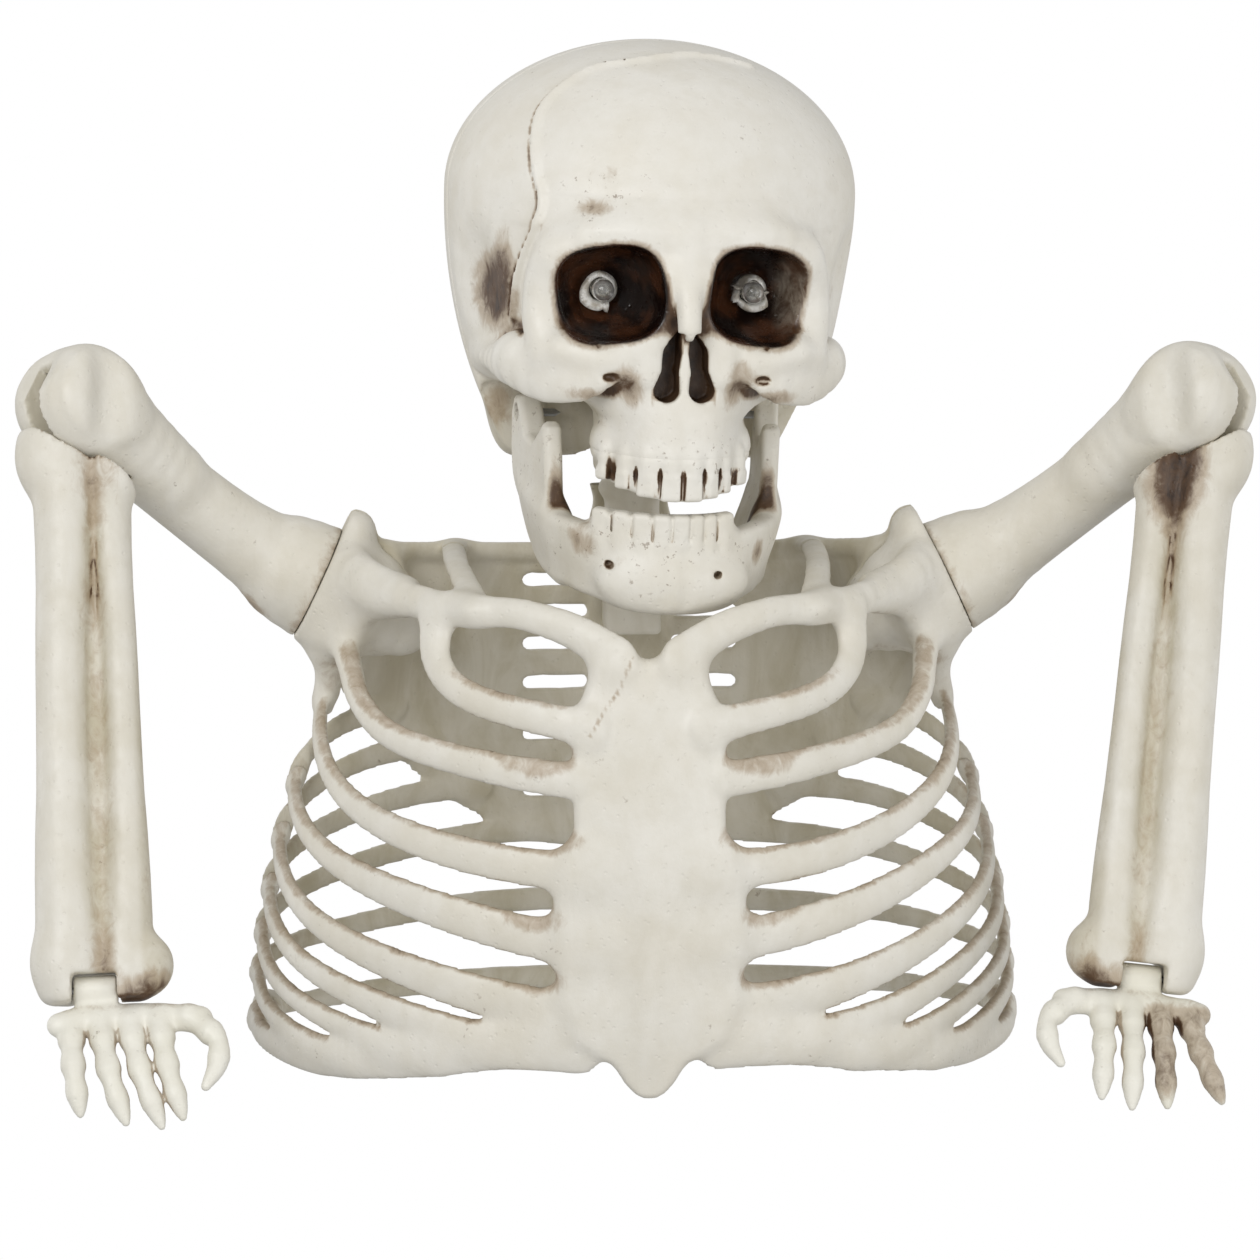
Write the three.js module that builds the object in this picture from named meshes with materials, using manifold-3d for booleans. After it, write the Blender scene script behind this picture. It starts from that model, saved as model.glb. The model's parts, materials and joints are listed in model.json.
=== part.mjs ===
// Light-up skeleton bust: a hollow rib cage in two shells, a posable head with a hinged jaw,
// and two posable arms.
// Millimetres, +Z up, -Y towards the viewer, +X to the viewer's right. The bust stands on z = 0.
import * as THREE from "three";
import { mergeVertices } from "three/addons/utils/BufferGeometryUtils.js";
import Module from "manifold-3d";

const wasm = await Module();
wasm.setup();

// Driving dimensions: clearances and hardware
const SEAT_GAP = 0.3; // between pieces that touch
const TURN_GAP = 0.6; // between faces that slide past each other
const SCREW_RADIUS = 1.5;
const SCREW_HEAD_RADIUS = 3;
const SCREW_HEAD_HEIGHT = 2;
const PIN_RADIUS = 2.4;

// Driving dimensions: rib cage
const DEPTH_SHIFT = 42; // moves the shell seam back, so that the origin is under the middle of the object
const CAGE_RIM_HALF_WIDTH = 150;
const CAGE_TOP_HALF_WIDTH = 98;
const CAGE_TOP_HEIGHT = 187;
const CAGE_FRONT_DEPTH = 116;
const CAGE_BACK_DEPTH = 40;

// Heights and forward distances on the cage, which stretch with its height and its front depth
const level = (z) => z * (CAGE_TOP_HEIGHT / 187);
const forward = (y) => -y * (CAGE_FRONT_DEPTH / 116);

const CAGE_TOP_FRONT_DEPTH = -forward(97);
const CAGE_TOP_BACK_DEPTH = CAGE_BACK_DEPTH - 9;
const FULLEST_HEIGHT = level(85); // where the cage is deepest
const RIB_THICKNESS = 5.2;
const RIB_END_ANGLE = 80; // degrees round from the side, where a front rib meets the sternum
const RIB_SIDE_HALF_HEIGHT = 3.4;
const KNOB_REACH = 6.5; // from the seam, of the knob on each rib's side end
const KNOB_SWELL_UP = 2.4;
const KNOB_SWELL_OUT = 1.2;
const RIB_FRONT_HALF_HEIGHTS = [4.6, 6.5, 7.3, 8, 8, 7, 5, 4.5];
const BACK_RIB_HALF_HEIGHT = 5;
const STERNUM_HALF_WIDTH = 24;
const STERNUM_THICKNESS = 7;
const STERNUM_TOP = level(166);
const XIPHOID_TIP_HEIGHT = 3;
const XIPHOID_TOP = level(27);
const CLAVICLE_HALF_HEIGHT = 6.5;
const CLAVICLE_HALF_DEPTH = 4.5;
const BACK_PLATE_THICKNESS = 3.2;
const SPINE_HALF_WIDTH = 16;
const SPINE_THICKNESS = 6;
const SPINE_SLOT_OUTER = 42;
const SPINE_SLOT_HEIGHTS = [172, 159, 146, 130, 109, 86].map(level);
const SPINE_SLOT_HEIGHT = 4.8;
const VERTEBRA_PITCH = 17;
const VERTEBRA_SWELL = 2.5;

// Driving dimensions: shoulders
const SHOULDER_X = CAGE_TOP_HALF_WIDTH + 23;
const SHOULDER_Z = CAGE_TOP_HEIGHT - 10;
const SHOULDER_TILT = 25.8; // degrees that the joint's face looks up
const SHOULDER_FACE_RADIUS = 22;
const SHOULDER_BOSS_DEPTH = 34;
const ARM_ROOM_RADIUS = 42; // kept clear in front of the joint's face
const ARM_ROOM_DEPTH = 40;
const SPIGOT_RADIUS = 7;
const SPIGOT_HEAD_RADIUS = 10;
const SPIGOT_LENGTH = 14;
const SPIGOT_HEAD_LENGTH = 4.5;

// Driving dimensions: arms
const HUMERUS_LENGTH = 121;
const HUMERUS_BEND = 25; // degrees between the shoulder's axis and the shaft
const HUMERUS_RADIUS = 14.5;
const HUMERUS_FLANGE_RADIUS = 24;
const ELBOW_RADIUS = 19;
const ELBOW_WIDTH = 32;
const TONGUE_THICKNESS = 8;
const TONGUE_RADIUS = 14.5;
const ELBOW_FOLDED_ANGLE = 50; // degrees between the two bones, fully folded
const ELBOW_OPEN_ANGLE = 160; // and fully open
const FOREARM_LENGTH = 216; // from the elbow's pin to the wrist's
const FOREARM_END = 5; // of the bone beyond the wrist's pin
const FOREARM_HALF_WIDTH = 18.5;
const FOREARM_HALF_DEPTH = 12.5;
const FOREARM_TWIST = -52; // degrees from the elbow's pin to the wrist's pin
const WRIST_HALF_WIDTH = 22;
const WRIST_PIN_RADIUS = 1.2;
const WRIST_PIN_HALF = 11.5;
const WRIST_TONGUE_WIDTH = 15;
const WRIST_TONGUE_THICKNESS = 6;
const PALM_HALF_WIDTH = 25;
const PALM_RADIUS = 4.6;
const PALM_GAP = 2.5; // room under the bone's end for the palm to swing
const PALM_OFFSET = 6; // of the palm's middle towards the thumb
const FINGER_LENGTHS = [35, 39, 41, 38];
const FINGER_RADIUS = 4;
const THUMB_LENGTH = 28;

// The rest position of each arm, in degrees, side 1 on the viewer's right
const ARM_REST = {
  right: { side: 1, swivel: 55.4, elbow: 54.7, wrist: 22 },
  left: { side: -1, swivel: 53.4, elbow: 61.3, wrist: 12 },
};

// Driving dimensions: head
const NECK_Y = 13;
const NECK_RISE = 49; // from the cage's top edge to where the head turns
const NECK_TURN_HEIGHT = CAGE_TOP_HEIGHT + NECK_RISE;
const NECK_RADIUS = 13;
const NECK_SPIGOT_RADIUS = 6.5;
const HEAD_YAW = 6.5; // degrees, the face turned to the viewer's right
const HEAD_LEAN = 2; // degrees, the crown tipped to the viewer's right
const SKULL_HALF_WIDTH = 75;
const SKULL_BASE = NECK_TURN_HEIGHT + 4;
const SKULL_TOP = SKULL_BASE + 143;
const SKULL_WIDEST_HEIGHT = SKULL_BASE + 87;
const FOREHEAD_HEIGHT = SKULL_BASE + 78; // where the front is fullest
const NAPE_HEIGHT = SKULL_BASE + 72; // where the back is fullest
// How far below its fullest level each side of the brain case would close
const SIDE_FALL = SKULL_WIDEST_HEIGHT - SKULL_BASE + 29;
const FRONT_FALL = FOREHEAD_HEIGHT - SKULL_BASE + 112;
const BACK_FALL = NAPE_HEIGHT - SKULL_BASE + 10;
const JAW_ROOM_HEIGHT = SKULL_BASE + 17; // the case is open for the jaw below this
const BASE_KNOB_DROP = 16;
const SKULL_FRONT = 80;
const SKULL_BACK = 80;
const SKULL_MIDDLE_Y = -8;
const SKULL_WALL = 2.6;
const SKULL_SEAM_Y = -12;
const ORBIT_X = 27.5;
const ORBIT_Z = SKULL_BASE + 56;
const ORBIT_HALF_WIDTH = 19.5;
const ORBIT_HALF_HEIGHT = 17.5;
const ORBIT_DEPTH = 27;
const ORBIT_MOUTH_Y = -93;
const FACE_FRONT_Y = -97;
const NOSE_BOTTOM = SKULL_BASE + 16;
const NOSE_TOP = SKULL_BASE + 41;
const NOSE_DEPTH = 14;
const UPPER_TEETH_EDGE = SKULL_BASE - 18;
const TOOTH_WIDTH = 7.2;
const TOOTH_HEIGHT = 9;
const TOOTH_DEPTH = 5;
const TEETH_IN_A_ROW = 10;
const DENTAL_ARCH_CURVE = 0.026; // how fast the row of teeth curves back from its middle
const JAW_HINGE_Y = -20;
const JAW_HINGE_Z = SKULL_BASE + 4;
const JAW_REST_OPEN = 6.5; // degrees open at rest
const JAW_HALF_WIDTH = 44;
const JAW_THICKNESS = 8;
const JAW_FRONT_Y = -94;
const JAW_BODY_LENGTH = 60;
const JAW_BODY_Z = JAW_HINGE_Z - 36;
const CHIN_BOTTOM = JAW_BODY_Z - 16;
const LED_RADIUS = 4;
const LED_LENGTH = 15;
const LED_TIP_Y = -80;
const LEAD_RADIUS = 0.9;
const GLUE_WIDTH = 2.9;
const GLUE_HEIGHT = 3.8;
const FACET_DIP = 0.7; // how far a coarse round face lies inside the true one

// Driving dimensions: battery bay at the back of the head
const BAY_Z = SKULL_BASE + 72;
const BAY_FACE_Y = 66;
const CELL_RADIUS = 5.2;
const CELL_LENGTH = 44.5;
const BAY_WALL = 1.6;
const DOOR_THICKNESS = 2;
const PAD_THICKNESS = 5;
const SWITCH_X = 23;
const SWITCH_TRAVEL = 4;

const COLOURS = {
  bone: { color: 0xe2ded4, roughness: 0.55, metalness: 0 },
  hand: { color: 0xe1decd, roughness: 0.55, metalness: 0 },
  steel: { color: 0xa9abad, roughness: 0.35, metalness: 1 },
  clear: { color: 0xdde3e2, roughness: 0.1, metalness: 0 },
  glue: { color: 0xc9c4ba, roughness: 0.25, metalness: 0 },
  black: { color: 0x26262a, roughness: 0.5, metalness: 0 },
  lead: { color: 0x8e1d1a, roughness: 0.5, metalness: 0 },
  cell: { color: 0x3a5a48, roughness: 0.35, metalness: 0.4 },
};

// Small helpers

const vec = (x, y, z) => new THREE.Vector3(x, y, z);
const radians = (angle) => (angle * Math.PI) / 180;
const degrees = (angle) => (angle * 180) / Math.PI;
const mix = (a, b, t) => a + (b - a) * t;
const clamp = (t) => Math.min(1, Math.max(0, t));
const smooth = (t) => t * t * (3 - 2 * t);
const range = (count) => Array.from({ length: count }, (_, i) => i);

// Value at t of a smooth curve through evenly spread values
function profile(values, t) {
  const curve = new THREE.SplineCurve(values.map((v, i) => new THREE.Vector2(i, v)));
  return curve.getPoint(t).y;
}

// Boolean solids

function solidFromGeometry(geometry) {
  const bare = geometry.clone();
  bare.deleteAttribute("normal");
  bare.deleteAttribute("uv");
  const merged = mergeVertices(bare, 1e-4);
  return new wasm.Manifold(
    new wasm.Mesh({
      numProp: 3,
      vertProperties: merged.attributes.position.array,
      triVerts: new Uint32Array(merged.index.array),
    }),
  );
}

function geometryFromSolid(solid) {
  const mesh = solid.getMesh();
  const geometry = new THREE.BufferGeometry();
  geometry.setAttribute("position", new THREE.BufferAttribute(mesh.vertProperties.slice(), 3));
  geometry.setIndex(new THREE.BufferAttribute(mesh.triVerts.slice(), 1));
  geometry.computeVertexNormals();
  return geometry;
}

const joined = (solids) => solids.reduce((all, next) => all.add(next));
const cut = (solid, cutters) => cutters.reduce((left, cutter) => left.subtract(cutter), solid);

function placed(geometry, matrix) {
  return solidFromGeometry(geometry.clone().applyMatrix4(matrix));
}

function box(low, high) {
  const size = high.clone().sub(low);
  const geometry = new THREE.BoxGeometry(size.x, size.y, size.z);
  geometry.translate(low.x + size.x / 2, low.y + size.y / 2, low.z + size.z / 2);
  return solidFromGeometry(geometry);
}

const boxAbout = (centre, half) => box(centre.clone().sub(half), centre.clone().add(half));

// A rod from one point to another, with a radius at each end
function rod(from, to, radius, endRadius = radius, sides = 16) {
  const along = to.clone().sub(from);
  const geometry = new THREE.CylinderGeometry(endRadius, radius, along.length(), sides);
  const turn = new THREE.Quaternion().setFromUnitVectors(vec(0, 1, 0), along.clone().normalize());
  const middle = from.clone().add(to).multiplyScalar(0.5);
  return placed(geometry, new THREE.Matrix4().compose(middle, turn, vec(1, 1, 1)));
}

function ellipsoid(centre, radii, around = 20, levels = 12) {
  const geometry = new THREE.SphereGeometry(1, around, levels);
  const stand = new THREE.Matrix4().makeRotationX(Math.PI / 2);
  geometry.applyMatrix4(stand);
  geometry.applyMatrix4(new THREE.Matrix4().makeScale(radii.x, radii.y, radii.z));
  geometry.translate(centre.x, centre.y, centre.z);
  return solidFromGeometry(geometry);
}

// A closed skin over rings of equally many points, each end closed by a strip of triangles
function loft(rings) {
  const count = rings[0].length;
  const index = [];
  for (let r = 0; r + 1 < rings.length; r += 1) {
    for (let i = 0; i < count; i += 1) {
      const a = r * count + i;
      const b = r * count + ((i + 1) % count);
      index.push(a, b, a + count, b, b + count, a + count);
    }
  }
  const last = (rings.length - 1) * count;
  for (let low = 0, high = count - 1; high - low > 1; low += 1) {
    index.push(low + 1, low, high, last + low, last + low + 1, last + high);
    if (high - low > 2) {
      index.push(high - 1, low + 1, high, last + low + 1, last + high - 1, last + high);
      high -= 1;
    }
  }
  return skin(rings.flat(), index);
}

// A solid from points and triangles, turned to face outwards
function skin(points, index) {
  let volume = 0;
  for (let i = 0; i < index.length; i += 3) {
    const [a, b, c] = [points[index[i]], points[index[i + 1]], points[index[i + 2]]];
    volume += a.dot(b.clone().cross(c));
  }
  const outward = volume > 0 ? index : index.toReversed();
  const geometry = new THREE.BufferGeometry().setFromPoints(points);
  geometry.setIndex(outward);
  return solidFromGeometry(geometry);
}

const evenly = (steps) => range(steps + 1).map((i) => i / steps);

// A bar of oval section along a path. path, outward and halves are functions of t: the middle of the bar,
// the way its thickness points, and its half thickness and half height. stations are the values of t.
function bar(path, outward, halves, stations, sides = 6) {
  const rings = stations.map((t) => {
    const centre = path(t);
    const before = path(Math.max(stations[0], t - 0.01));
    const after = path(Math.min(stations.at(-1), t + 0.01));
    const along = after.sub(before).normalize();
    const across = outward(t).clone();
    across.addScaledVector(along, -across.dot(along)).normalize();
    const up = along.clone().cross(across);
    const [thickness, height] = halves(t);
    return range(sides).map((i) => {
      const angle = ((i + 0.5) / sides) * 2 * Math.PI;
      return centre
        .clone()
        .addScaledVector(across, thickness * Math.cos(angle))
        .addScaledVector(up, height * Math.sin(angle));
    });
  });
  return loft(rings);
}

// A bar along a smooth curve through given points
function barThrough(points, outward, halves, steps, sides = 6) {
  const curve = new THREE.CatmullRomCurve3(points);
  return bar((t) => curve.getPoint(t), () => outward, halves, evenly(steps), sides);
}

function mirroredSolid(solid) {
  const mesh = solid.getMesh();
  const flipped = mesh.vertProperties.slice();
  for (let i = 0; i < flipped.length; i += 3) flipped[i] = -flipped[i];
  const triangles = mesh.triVerts.slice().reverse();
  return new wasm.Manifold(
    new wasm.Mesh({ numProp: 3, vertProperties: flipped, triVerts: triangles }),
  );
}

const bothSides = (solid) => solid.add(mirroredSolid(solid));

function namedMesh(name, solid, look) {
  const mesh = new THREE.Mesh(
    geometryFromSolid(solid),
    new THREE.MeshStandardMaterial(COLOURS[look]),
  );
  mesh.name = name;
  return mesh;
}

// A pan-head screw, its head at the start and its tip at the end
function screw(name, head, tip) {
  const way = tip.clone().sub(head).normalize();
  const under = head.clone().addScaledVector(way, SCREW_HEAD_HEIGHT);
  const top = rod(head, under, SCREW_HEAD_RADIUS * 0.8, SCREW_HEAD_RADIUS, 6);
  const shankStart = under.clone().addScaledVector(way, -0.5);
  const shank = rod(shankStart, tip, SCREW_RADIUS, SCREW_RADIUS * 0.8, 5);
  return namedMesh(name, joined([top, shank]), "steel");
}

// The hole for such a screw: clearance round the shank, and a counterbore that takes the head
function screwHole(head, tip) {
  const way = tip.clone().sub(head).normalize();
  const under = head.clone().addScaledVector(way, SCREW_HEAD_HEIGHT + SEAT_GAP);
  const outside = head.clone().addScaledVector(way, -30);
  const past = tip.clone().addScaledVector(way, SEAT_GAP);
  return joined([
    rod(outside, under, SCREW_HEAD_RADIUS + SEAT_GAP, SCREW_HEAD_RADIUS + SEAT_GAP, 6),
    rod(outside, past, SCREW_RADIUS + SEAT_GAP, SCREW_RADIUS + SEAT_GAP, 5),
  ]);
}

// The rib cage's wall: an oval at each height, deeper in front of the seam than behind it

const cageHalfWidth = (z) =>
  mix(CAGE_RIM_HALF_WIDTH, CAGE_TOP_HALF_WIDTH, Math.pow(Math.max(0, z) / CAGE_TOP_HEIGHT, 1.8));

function cageDepth(z, front) {
  const full = front ? CAGE_FRONT_DEPTH : CAGE_BACK_DEPTH;
  const top = front ? CAGE_TOP_FRONT_DEPTH : CAGE_TOP_BACK_DEPTH;
  const above = Math.max(0, z - FULLEST_HEIGHT) / (CAGE_TOP_HEIGHT - FULLEST_HEIGHT);
  const below = Math.max(0, FULLEST_HEIGHT - z) / FULLEST_HEIGHT;
  return full - (full - top) * above * above - 4 * below * below;
}

// A point of the wall. angle is in degrees round from the side (0) to the middle of the front or back (90).
function wallPoint(angle, z, front, inset = 0) {
  const a = radians(angle);
  const depth = cageDepth(z, front) - inset;
  return vec((cageHalfWidth(z) - inset) * Math.cos(a), (front ? -depth : depth) * Math.sin(a), z);
}

function wallOutward(angle, z, front) {
  const a = radians(angle);
  const depth = cageDepth(z, front);
  const width = cageHalfWidth(z);
  return vec(Math.cos(a) / width, ((front ? -1 : 1) * Math.sin(a)) / depth, 0).normalize();
}

// A rib of the wall between two angles, its height and half height given as functions of t.
// One that starts at the side swells there to a knob, and runs past the seam that trims it.
function wallRib({ from, to, heightAt, halfHeightAt, front, steps, thickness = RIB_THICKNESS }) {
  const knobAngle = degrees(KNOB_REACH / cageDepth(FULLEST_HEIGHT, front));
  const atSide = from === 0;
  const start = atSide ? knobAngle : from;
  const angles = evenly(steps).map((share) => mix(start, to, share));
  if (atSide) angles.unshift(-knobAngle / 3);
  const angleAt = (t) => mix(from, to, t);
  const swellAt = (t) => (atSide ? smooth(clamp(1 - angleAt(t) / knobAngle)) : 0);
  return bar(
    (t) => wallPoint(angleAt(t), heightAt(t), front, thickness / 2),
    (t) => wallOutward(angleAt(t), heightAt(t), front),
    (t) => [
      thickness / 2 + KNOB_SWELL_OUT * swellAt(t),
      halfHeightAt(t) + KNOB_SWELL_UP * swellAt(t),
    ],
    angles.map((angle) => (angle - from) / (to - from)),
  );
}

// Each front rib: the angle and height where it starts at the side, and its height at the sternum
const FRONT_RIBS = [
  { startAngle: 38, start: 176, end: 147, fall: 2 },
  { startAngle: 6, start: 146, end: 120.5, fall: 1.1 },
  { startAngle: 1, start: 133, end: 90.5, fall: 2 },
  { startAngle: 0, start: 100, end: 63, fall: 1.2 },
  { startAngle: 0, start: 78, end: 38, fall: 1.4 },
  { startAngle: 0, start: 58, end: 21, fall: 1.35 },
  { startAngle: 0, start: 40, end: 16, fall: 1.3, endAngle: 58 },
  { startAngle: 0, start: 24, end: 9, fall: 1.2, endAngle: 42 },
];

// Each back rib, from its side node: the angle and height where it meets the back's wall or the spine
const BACK_RIBS = [
  { start: 100, endAngle: 38, end: 122 },
  { start: 78, endAngle: 50, end: 106 },
  { start: 58, endAngle: 62, end: 88 },
  { start: 40, endAngle: 80, end: 70 },
  { start: 24, endAngle: 88, end: 42 },
  { start: 4, endAngle: 88, end: 10 },
];

function frontRib(rib, i) {
  const endAngle = rib.endAngle ?? RIB_END_ANGLE;
  return wallRib({
    from: rib.startAngle,
    to: endAngle,
    heightAt: (t) => level(rib.end + (rib.start - rib.end) * Math.pow(1 - t, rib.fall)),
    halfHeightAt: (t) => mix(RIB_SIDE_HALF_HEIGHT, RIB_FRONT_HALF_HEIGHTS[i], smooth(t)),
    front: true,
    steps: Math.ceil(endAngle / 20),
  });
}

// The rim along the bottom: level at the sides, rising to the xiphoid in front
function frontRim() {
  const rise = XIPHOID_TOP - 7;
  const riseAt = (t) => rise * Math.pow(Math.max(0, t - 0.35) / 0.65, 1.6);
  const halfHeightAt = (t) => mix(5, 8.5, smooth(t));
  return wallRib({
    from: 0,
    to: RIB_END_ANGLE,
    heightAt: (t) => riseAt(t) + halfHeightAt(t) - 1,
    halfHeightAt,
    front: true,
    steps: 5,
    thickness: RIB_THICKNESS + 1,
  });
}

function sternum() {
  const between = [42, 52, 78, 105, 133, 150].map(level);
  const heights = [XIPHOID_TIP_HEIGHT, level(10), level(19), XIPHOID_TOP, ...between, STERNUM_TOP];
  const shares = [0.12, 0.38, 0.56, 0.9, 1.35, 1.38, 1.45, 1.15, 1.15, 1.08, 0.92];
  const rings = heights.map((z, i) => {
    const front = -cageDepth(z, true) - 0.5;
    const w = shares[i] * STERNUM_HALF_WIDTH;
    const across = w / cageHalfWidth(z);
    const cornerY = front * Math.sqrt(1 - across * across) + 1;
    const ridge = z < level(100) ? 2.2 : 0.6;
    return [
      vec(-w, cornerY, z),
      vec(-w * 0.45, front + 0.6, z),
      vec(0, front - ridge, z),
      vec(w * 0.45, front + 0.6, z),
      vec(w, cornerY, z),
      vec(w, cornerY + STERNUM_THICKNESS - 2, z),
      vec(-w, cornerY + STERNUM_THICKNESS - 2, z),
    ];
  });
  return loft(rings);
}

// Middle points of the collar bone, from the sternum's top corner to the shoulder
const CLAVICLE_POINTS = [
  vec(16, forward(98), level(159)),
  vec(33, forward(95), level(172)),
  vec(56, forward(86), level(180)),
  vec(82, forward(68), level(182)),
  vec(SHOULDER_X - 17, forward(38), level(184)),
  vec(SHOULDER_X - 9, forward(8), level(188)),
];

function clavicle() {
  return barThrough(
    CLAVICLE_POINTS,
    vec(0.3, -1, 0.35),
    (t) => [CLAVICLE_HALF_DEPTH, mix(CLAVICLE_HALF_HEIGHT + 1.5, CLAVICLE_HALF_HEIGHT, smooth(t))],
    7,
  );
}

// The strut over the top of the shoulder, between the collar bone and the back's top edge
function topStrut() {
  return barThrough(
    [
      vec(62, forward(82), level(181)),
      vec(66, forward(45), level(187)),
      vec(69, 0, level(189)),
      vec(68, CAGE_TOP_BACK_DEPTH - 7, level(186)),
    ],
    vec(0, 0, 1),
    () => [3.2, 4.2],
    4,
  );
}

// The back's top edge, from the spine to the shoulder
function topEdge() {
  return bar(
    (t) => wallPoint(mix(88, 12, t), CAGE_TOP_HEIGHT + mix(-5, 1, t), false, 2.5),
    () => vec(0, 1, 0.4),
    () => [3, 3.6],
    evenly(4),
  );
}

const shoulderCentre = vec(SHOULDER_X, 0, SHOULDER_Z);
const shoulderAxis = vec(Math.cos(radians(SHOULDER_TILT)), 0, Math.sin(radians(SHOULDER_TILT)));
const alongShoulder = (distance) => shoulderCentre.clone().addScaledVector(shoulderAxis, distance);

// The solid boss that holds the arm's spigot, with the two knobs that a shoulder blade has
function shoulderBoss() {
  const across = vec(0, 1, 0);
  const up = shoulderAxis.clone().cross(across).negate();
  const stations = [
    [0, 1.04, 1.04],
    [-8, 1.1, 1.12],
    [-22, 0.95, 1.05],
    [-SHOULDER_BOSS_DEPTH, 0.6, 0.7],
  ];
  const rings = stations.map(([depth, wide, tall]) =>
    range(8).map((i) => {
      const angle = ((i + 0.5) / 8) * 2 * Math.PI;
      return alongShoulder(depth)
        .addScaledVector(across, SHOULDER_FACE_RADIUS * wide * Math.cos(angle))
        .addScaledVector(up, SHOULDER_FACE_RADIUS * tall * Math.sin(angle));
    }),
  );
  const acromion = ellipsoid(vec(SHOULDER_X - 14, 0, SHOULDER_Z + 21), vec(8, 12, 7), 6, 4);
  const below = barThrough(
    [
      vec(SHOULDER_X - 3, -3, SHOULDER_Z - 17),
      vec(SHOULDER_X - 4, -2, level(146)),
      vec(SHOULDER_X - 2, 0, level(133)),
    ],
    vec(1, 0, 0),
    (t) => [mix(9, 3.4, t), mix(15, 6, t)],
    3,
  );
  return joined([loft(rings), acromion, below]);
}

// The hollow for the spigot: a neck and a wider pocket for its head
function spigotPocket() {
  const neck = rod(
    alongShoulder(5),
    alongShoulder(-SPIGOT_LENGTH - 1),
    SPIGOT_RADIUS + TURN_GAP,
    SPIGOT_RADIUS + TURN_GAP,
    10,
  );
  const pocket = rod(
    alongShoulder(-SPIGOT_LENGTH + TURN_GAP),
    alongShoulder(-SPIGOT_LENGTH - SPIGOT_HEAD_LENGTH - TURN_GAP),
    SPIGOT_HEAD_RADIUS + TURN_GAP,
    SPIGOT_HEAD_RADIUS + TURN_GAP,
    10,
  );
  return joined([neck, pocket]);
}

// The room beyond the joint's face, which the arm's flange turns in
function armRoom() {
  const end = alongShoulder(ARM_ROOM_DEPTH);
  return rod(alongShoulder(0), end, ARM_ROOM_RADIUS, ARM_ROOM_RADIUS, 8);
}

// Screws that hold the two shells together: head point and tip point, on the +X side
const SHELL_SCREWS = [
  { name: "shoulder_screw_upper", x: SHOULDER_X - 23, z: SHOULDER_Z + 5, headY: 19, tipY: -9 },
  { name: "shoulder_screw_lower", x: SHOULDER_X - 4, z: SHOULDER_Z - 26, headY: 14, tipY: -9 },
  { name: "rim_screw", x: CAGE_RIM_HALF_WIDTH - 6.5, z: 7, headY: 12, tipY: -8 },
].map(({ name, x, z, headY, tipY }) => ({ name, head: vec(x, headY, z), tip: vec(x, tipY, z) }));

// The boss round the rim's screw
function rimScrewBoss() {
  const { head, tip } = SHELL_SCREWS[2];
  const radius = SCREW_HEAD_RADIUS + 3;
  return rod(vec(head.x, head.y + 1, head.z), vec(tip.x, tip.y - 3, tip.z), radius, radius, 6);
}

const seamSide = (front) => {
  const reach = 2 * CAGE_RIM_HALF_WIDTH;
  const edge = SEAT_GAP / 2;
  return front
    ? box(vec(-reach, -reach, 0), vec(reach, -edge, reach))
    : box(vec(-reach, edge, 0), vec(reach, reach, reach));
};

const shellScrewHoles = () => SHELL_SCREWS.map(({ head, tip }) => screwHole(head, tip));

function chestShell() {
  const oneSide = joined([
    ...FRONT_RIBS.map(frontRib),
    frontRim(),
    clavicle(),
    topStrut(),
    rimScrewBoss(),
    shoulderBoss(),
  ]);
  const whole = joined([bothSides(oneSide), sternum()]);
  const cutters = [...shellScrewHoles(), spigotPocket(), armRoom()].map(bothSides);
  return namedMesh("chest_shell", cut(whole, cutters).intersect(seamSide(true)), "bone");
}

// The solid upper wall of the back, its lower edge rising from the spine to the armpit
function backPlate() {
  const angles = evenly(6).map((share) => mix(14, 90, share));
  const rings = angles.map((angle) => {
    const lower = level(mix(136, 62, smooth(Math.min(1, (angle - 10) / 75))));
    const heights = evenly(3).map((share) => mix(lower, CAGE_TOP_HEIGHT - 1, share));
    const outer = heights.map((z) => wallPoint(angle, z, false));
    const inner = heights.map((z) => wallPoint(angle, z, false, BACK_PLATE_THICKNESS));
    return [...outer, ...inner.toReversed()];
  });
  rings.at(-1).forEach((p) => p.setX(-1));
  return loft(rings);
}

function spineSlots() {
  const half = SPINE_SLOT_HEIGHT / 2;
  const outline = new THREE.Shape();
  outline.absarc(SPINE_SLOT_OUTER - half, 0, half, -Math.PI / 2, Math.PI / 2, false);
  outline.absarc(SPINE_HALF_WIDTH + half, 0, half, Math.PI / 2, (3 * Math.PI) / 2, false);
  const depth = CAGE_BACK_DEPTH;
  const geometry = new THREE.ExtrudeGeometry(outline, { depth, bevelEnabled: false, curveSegments: 2 });
  return SPINE_SLOT_HEIGHTS.map((z) => {
    const place = new THREE.Matrix4().makeRotationX(Math.PI / 2).setPosition(0, depth + 10, z);
    return placed(geometry, place);
  });
}

// A back rib: it climbs from the side to the wall or the spine
function backRib({ start, endAngle, end }) {
  return wallRib({
    from: 0,
    to: endAngle,
    heightAt: (t) => level(mix(start, end, Math.sin((t * Math.PI) / 2))),
    halfHeightAt: (t) => mix(RIB_SIDE_HALF_HEIGHT, BACK_RIB_HALF_HEIGHT, smooth(t)),
    front: false,
    steps: Math.ceil(endAngle / 30),
  });
}

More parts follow.
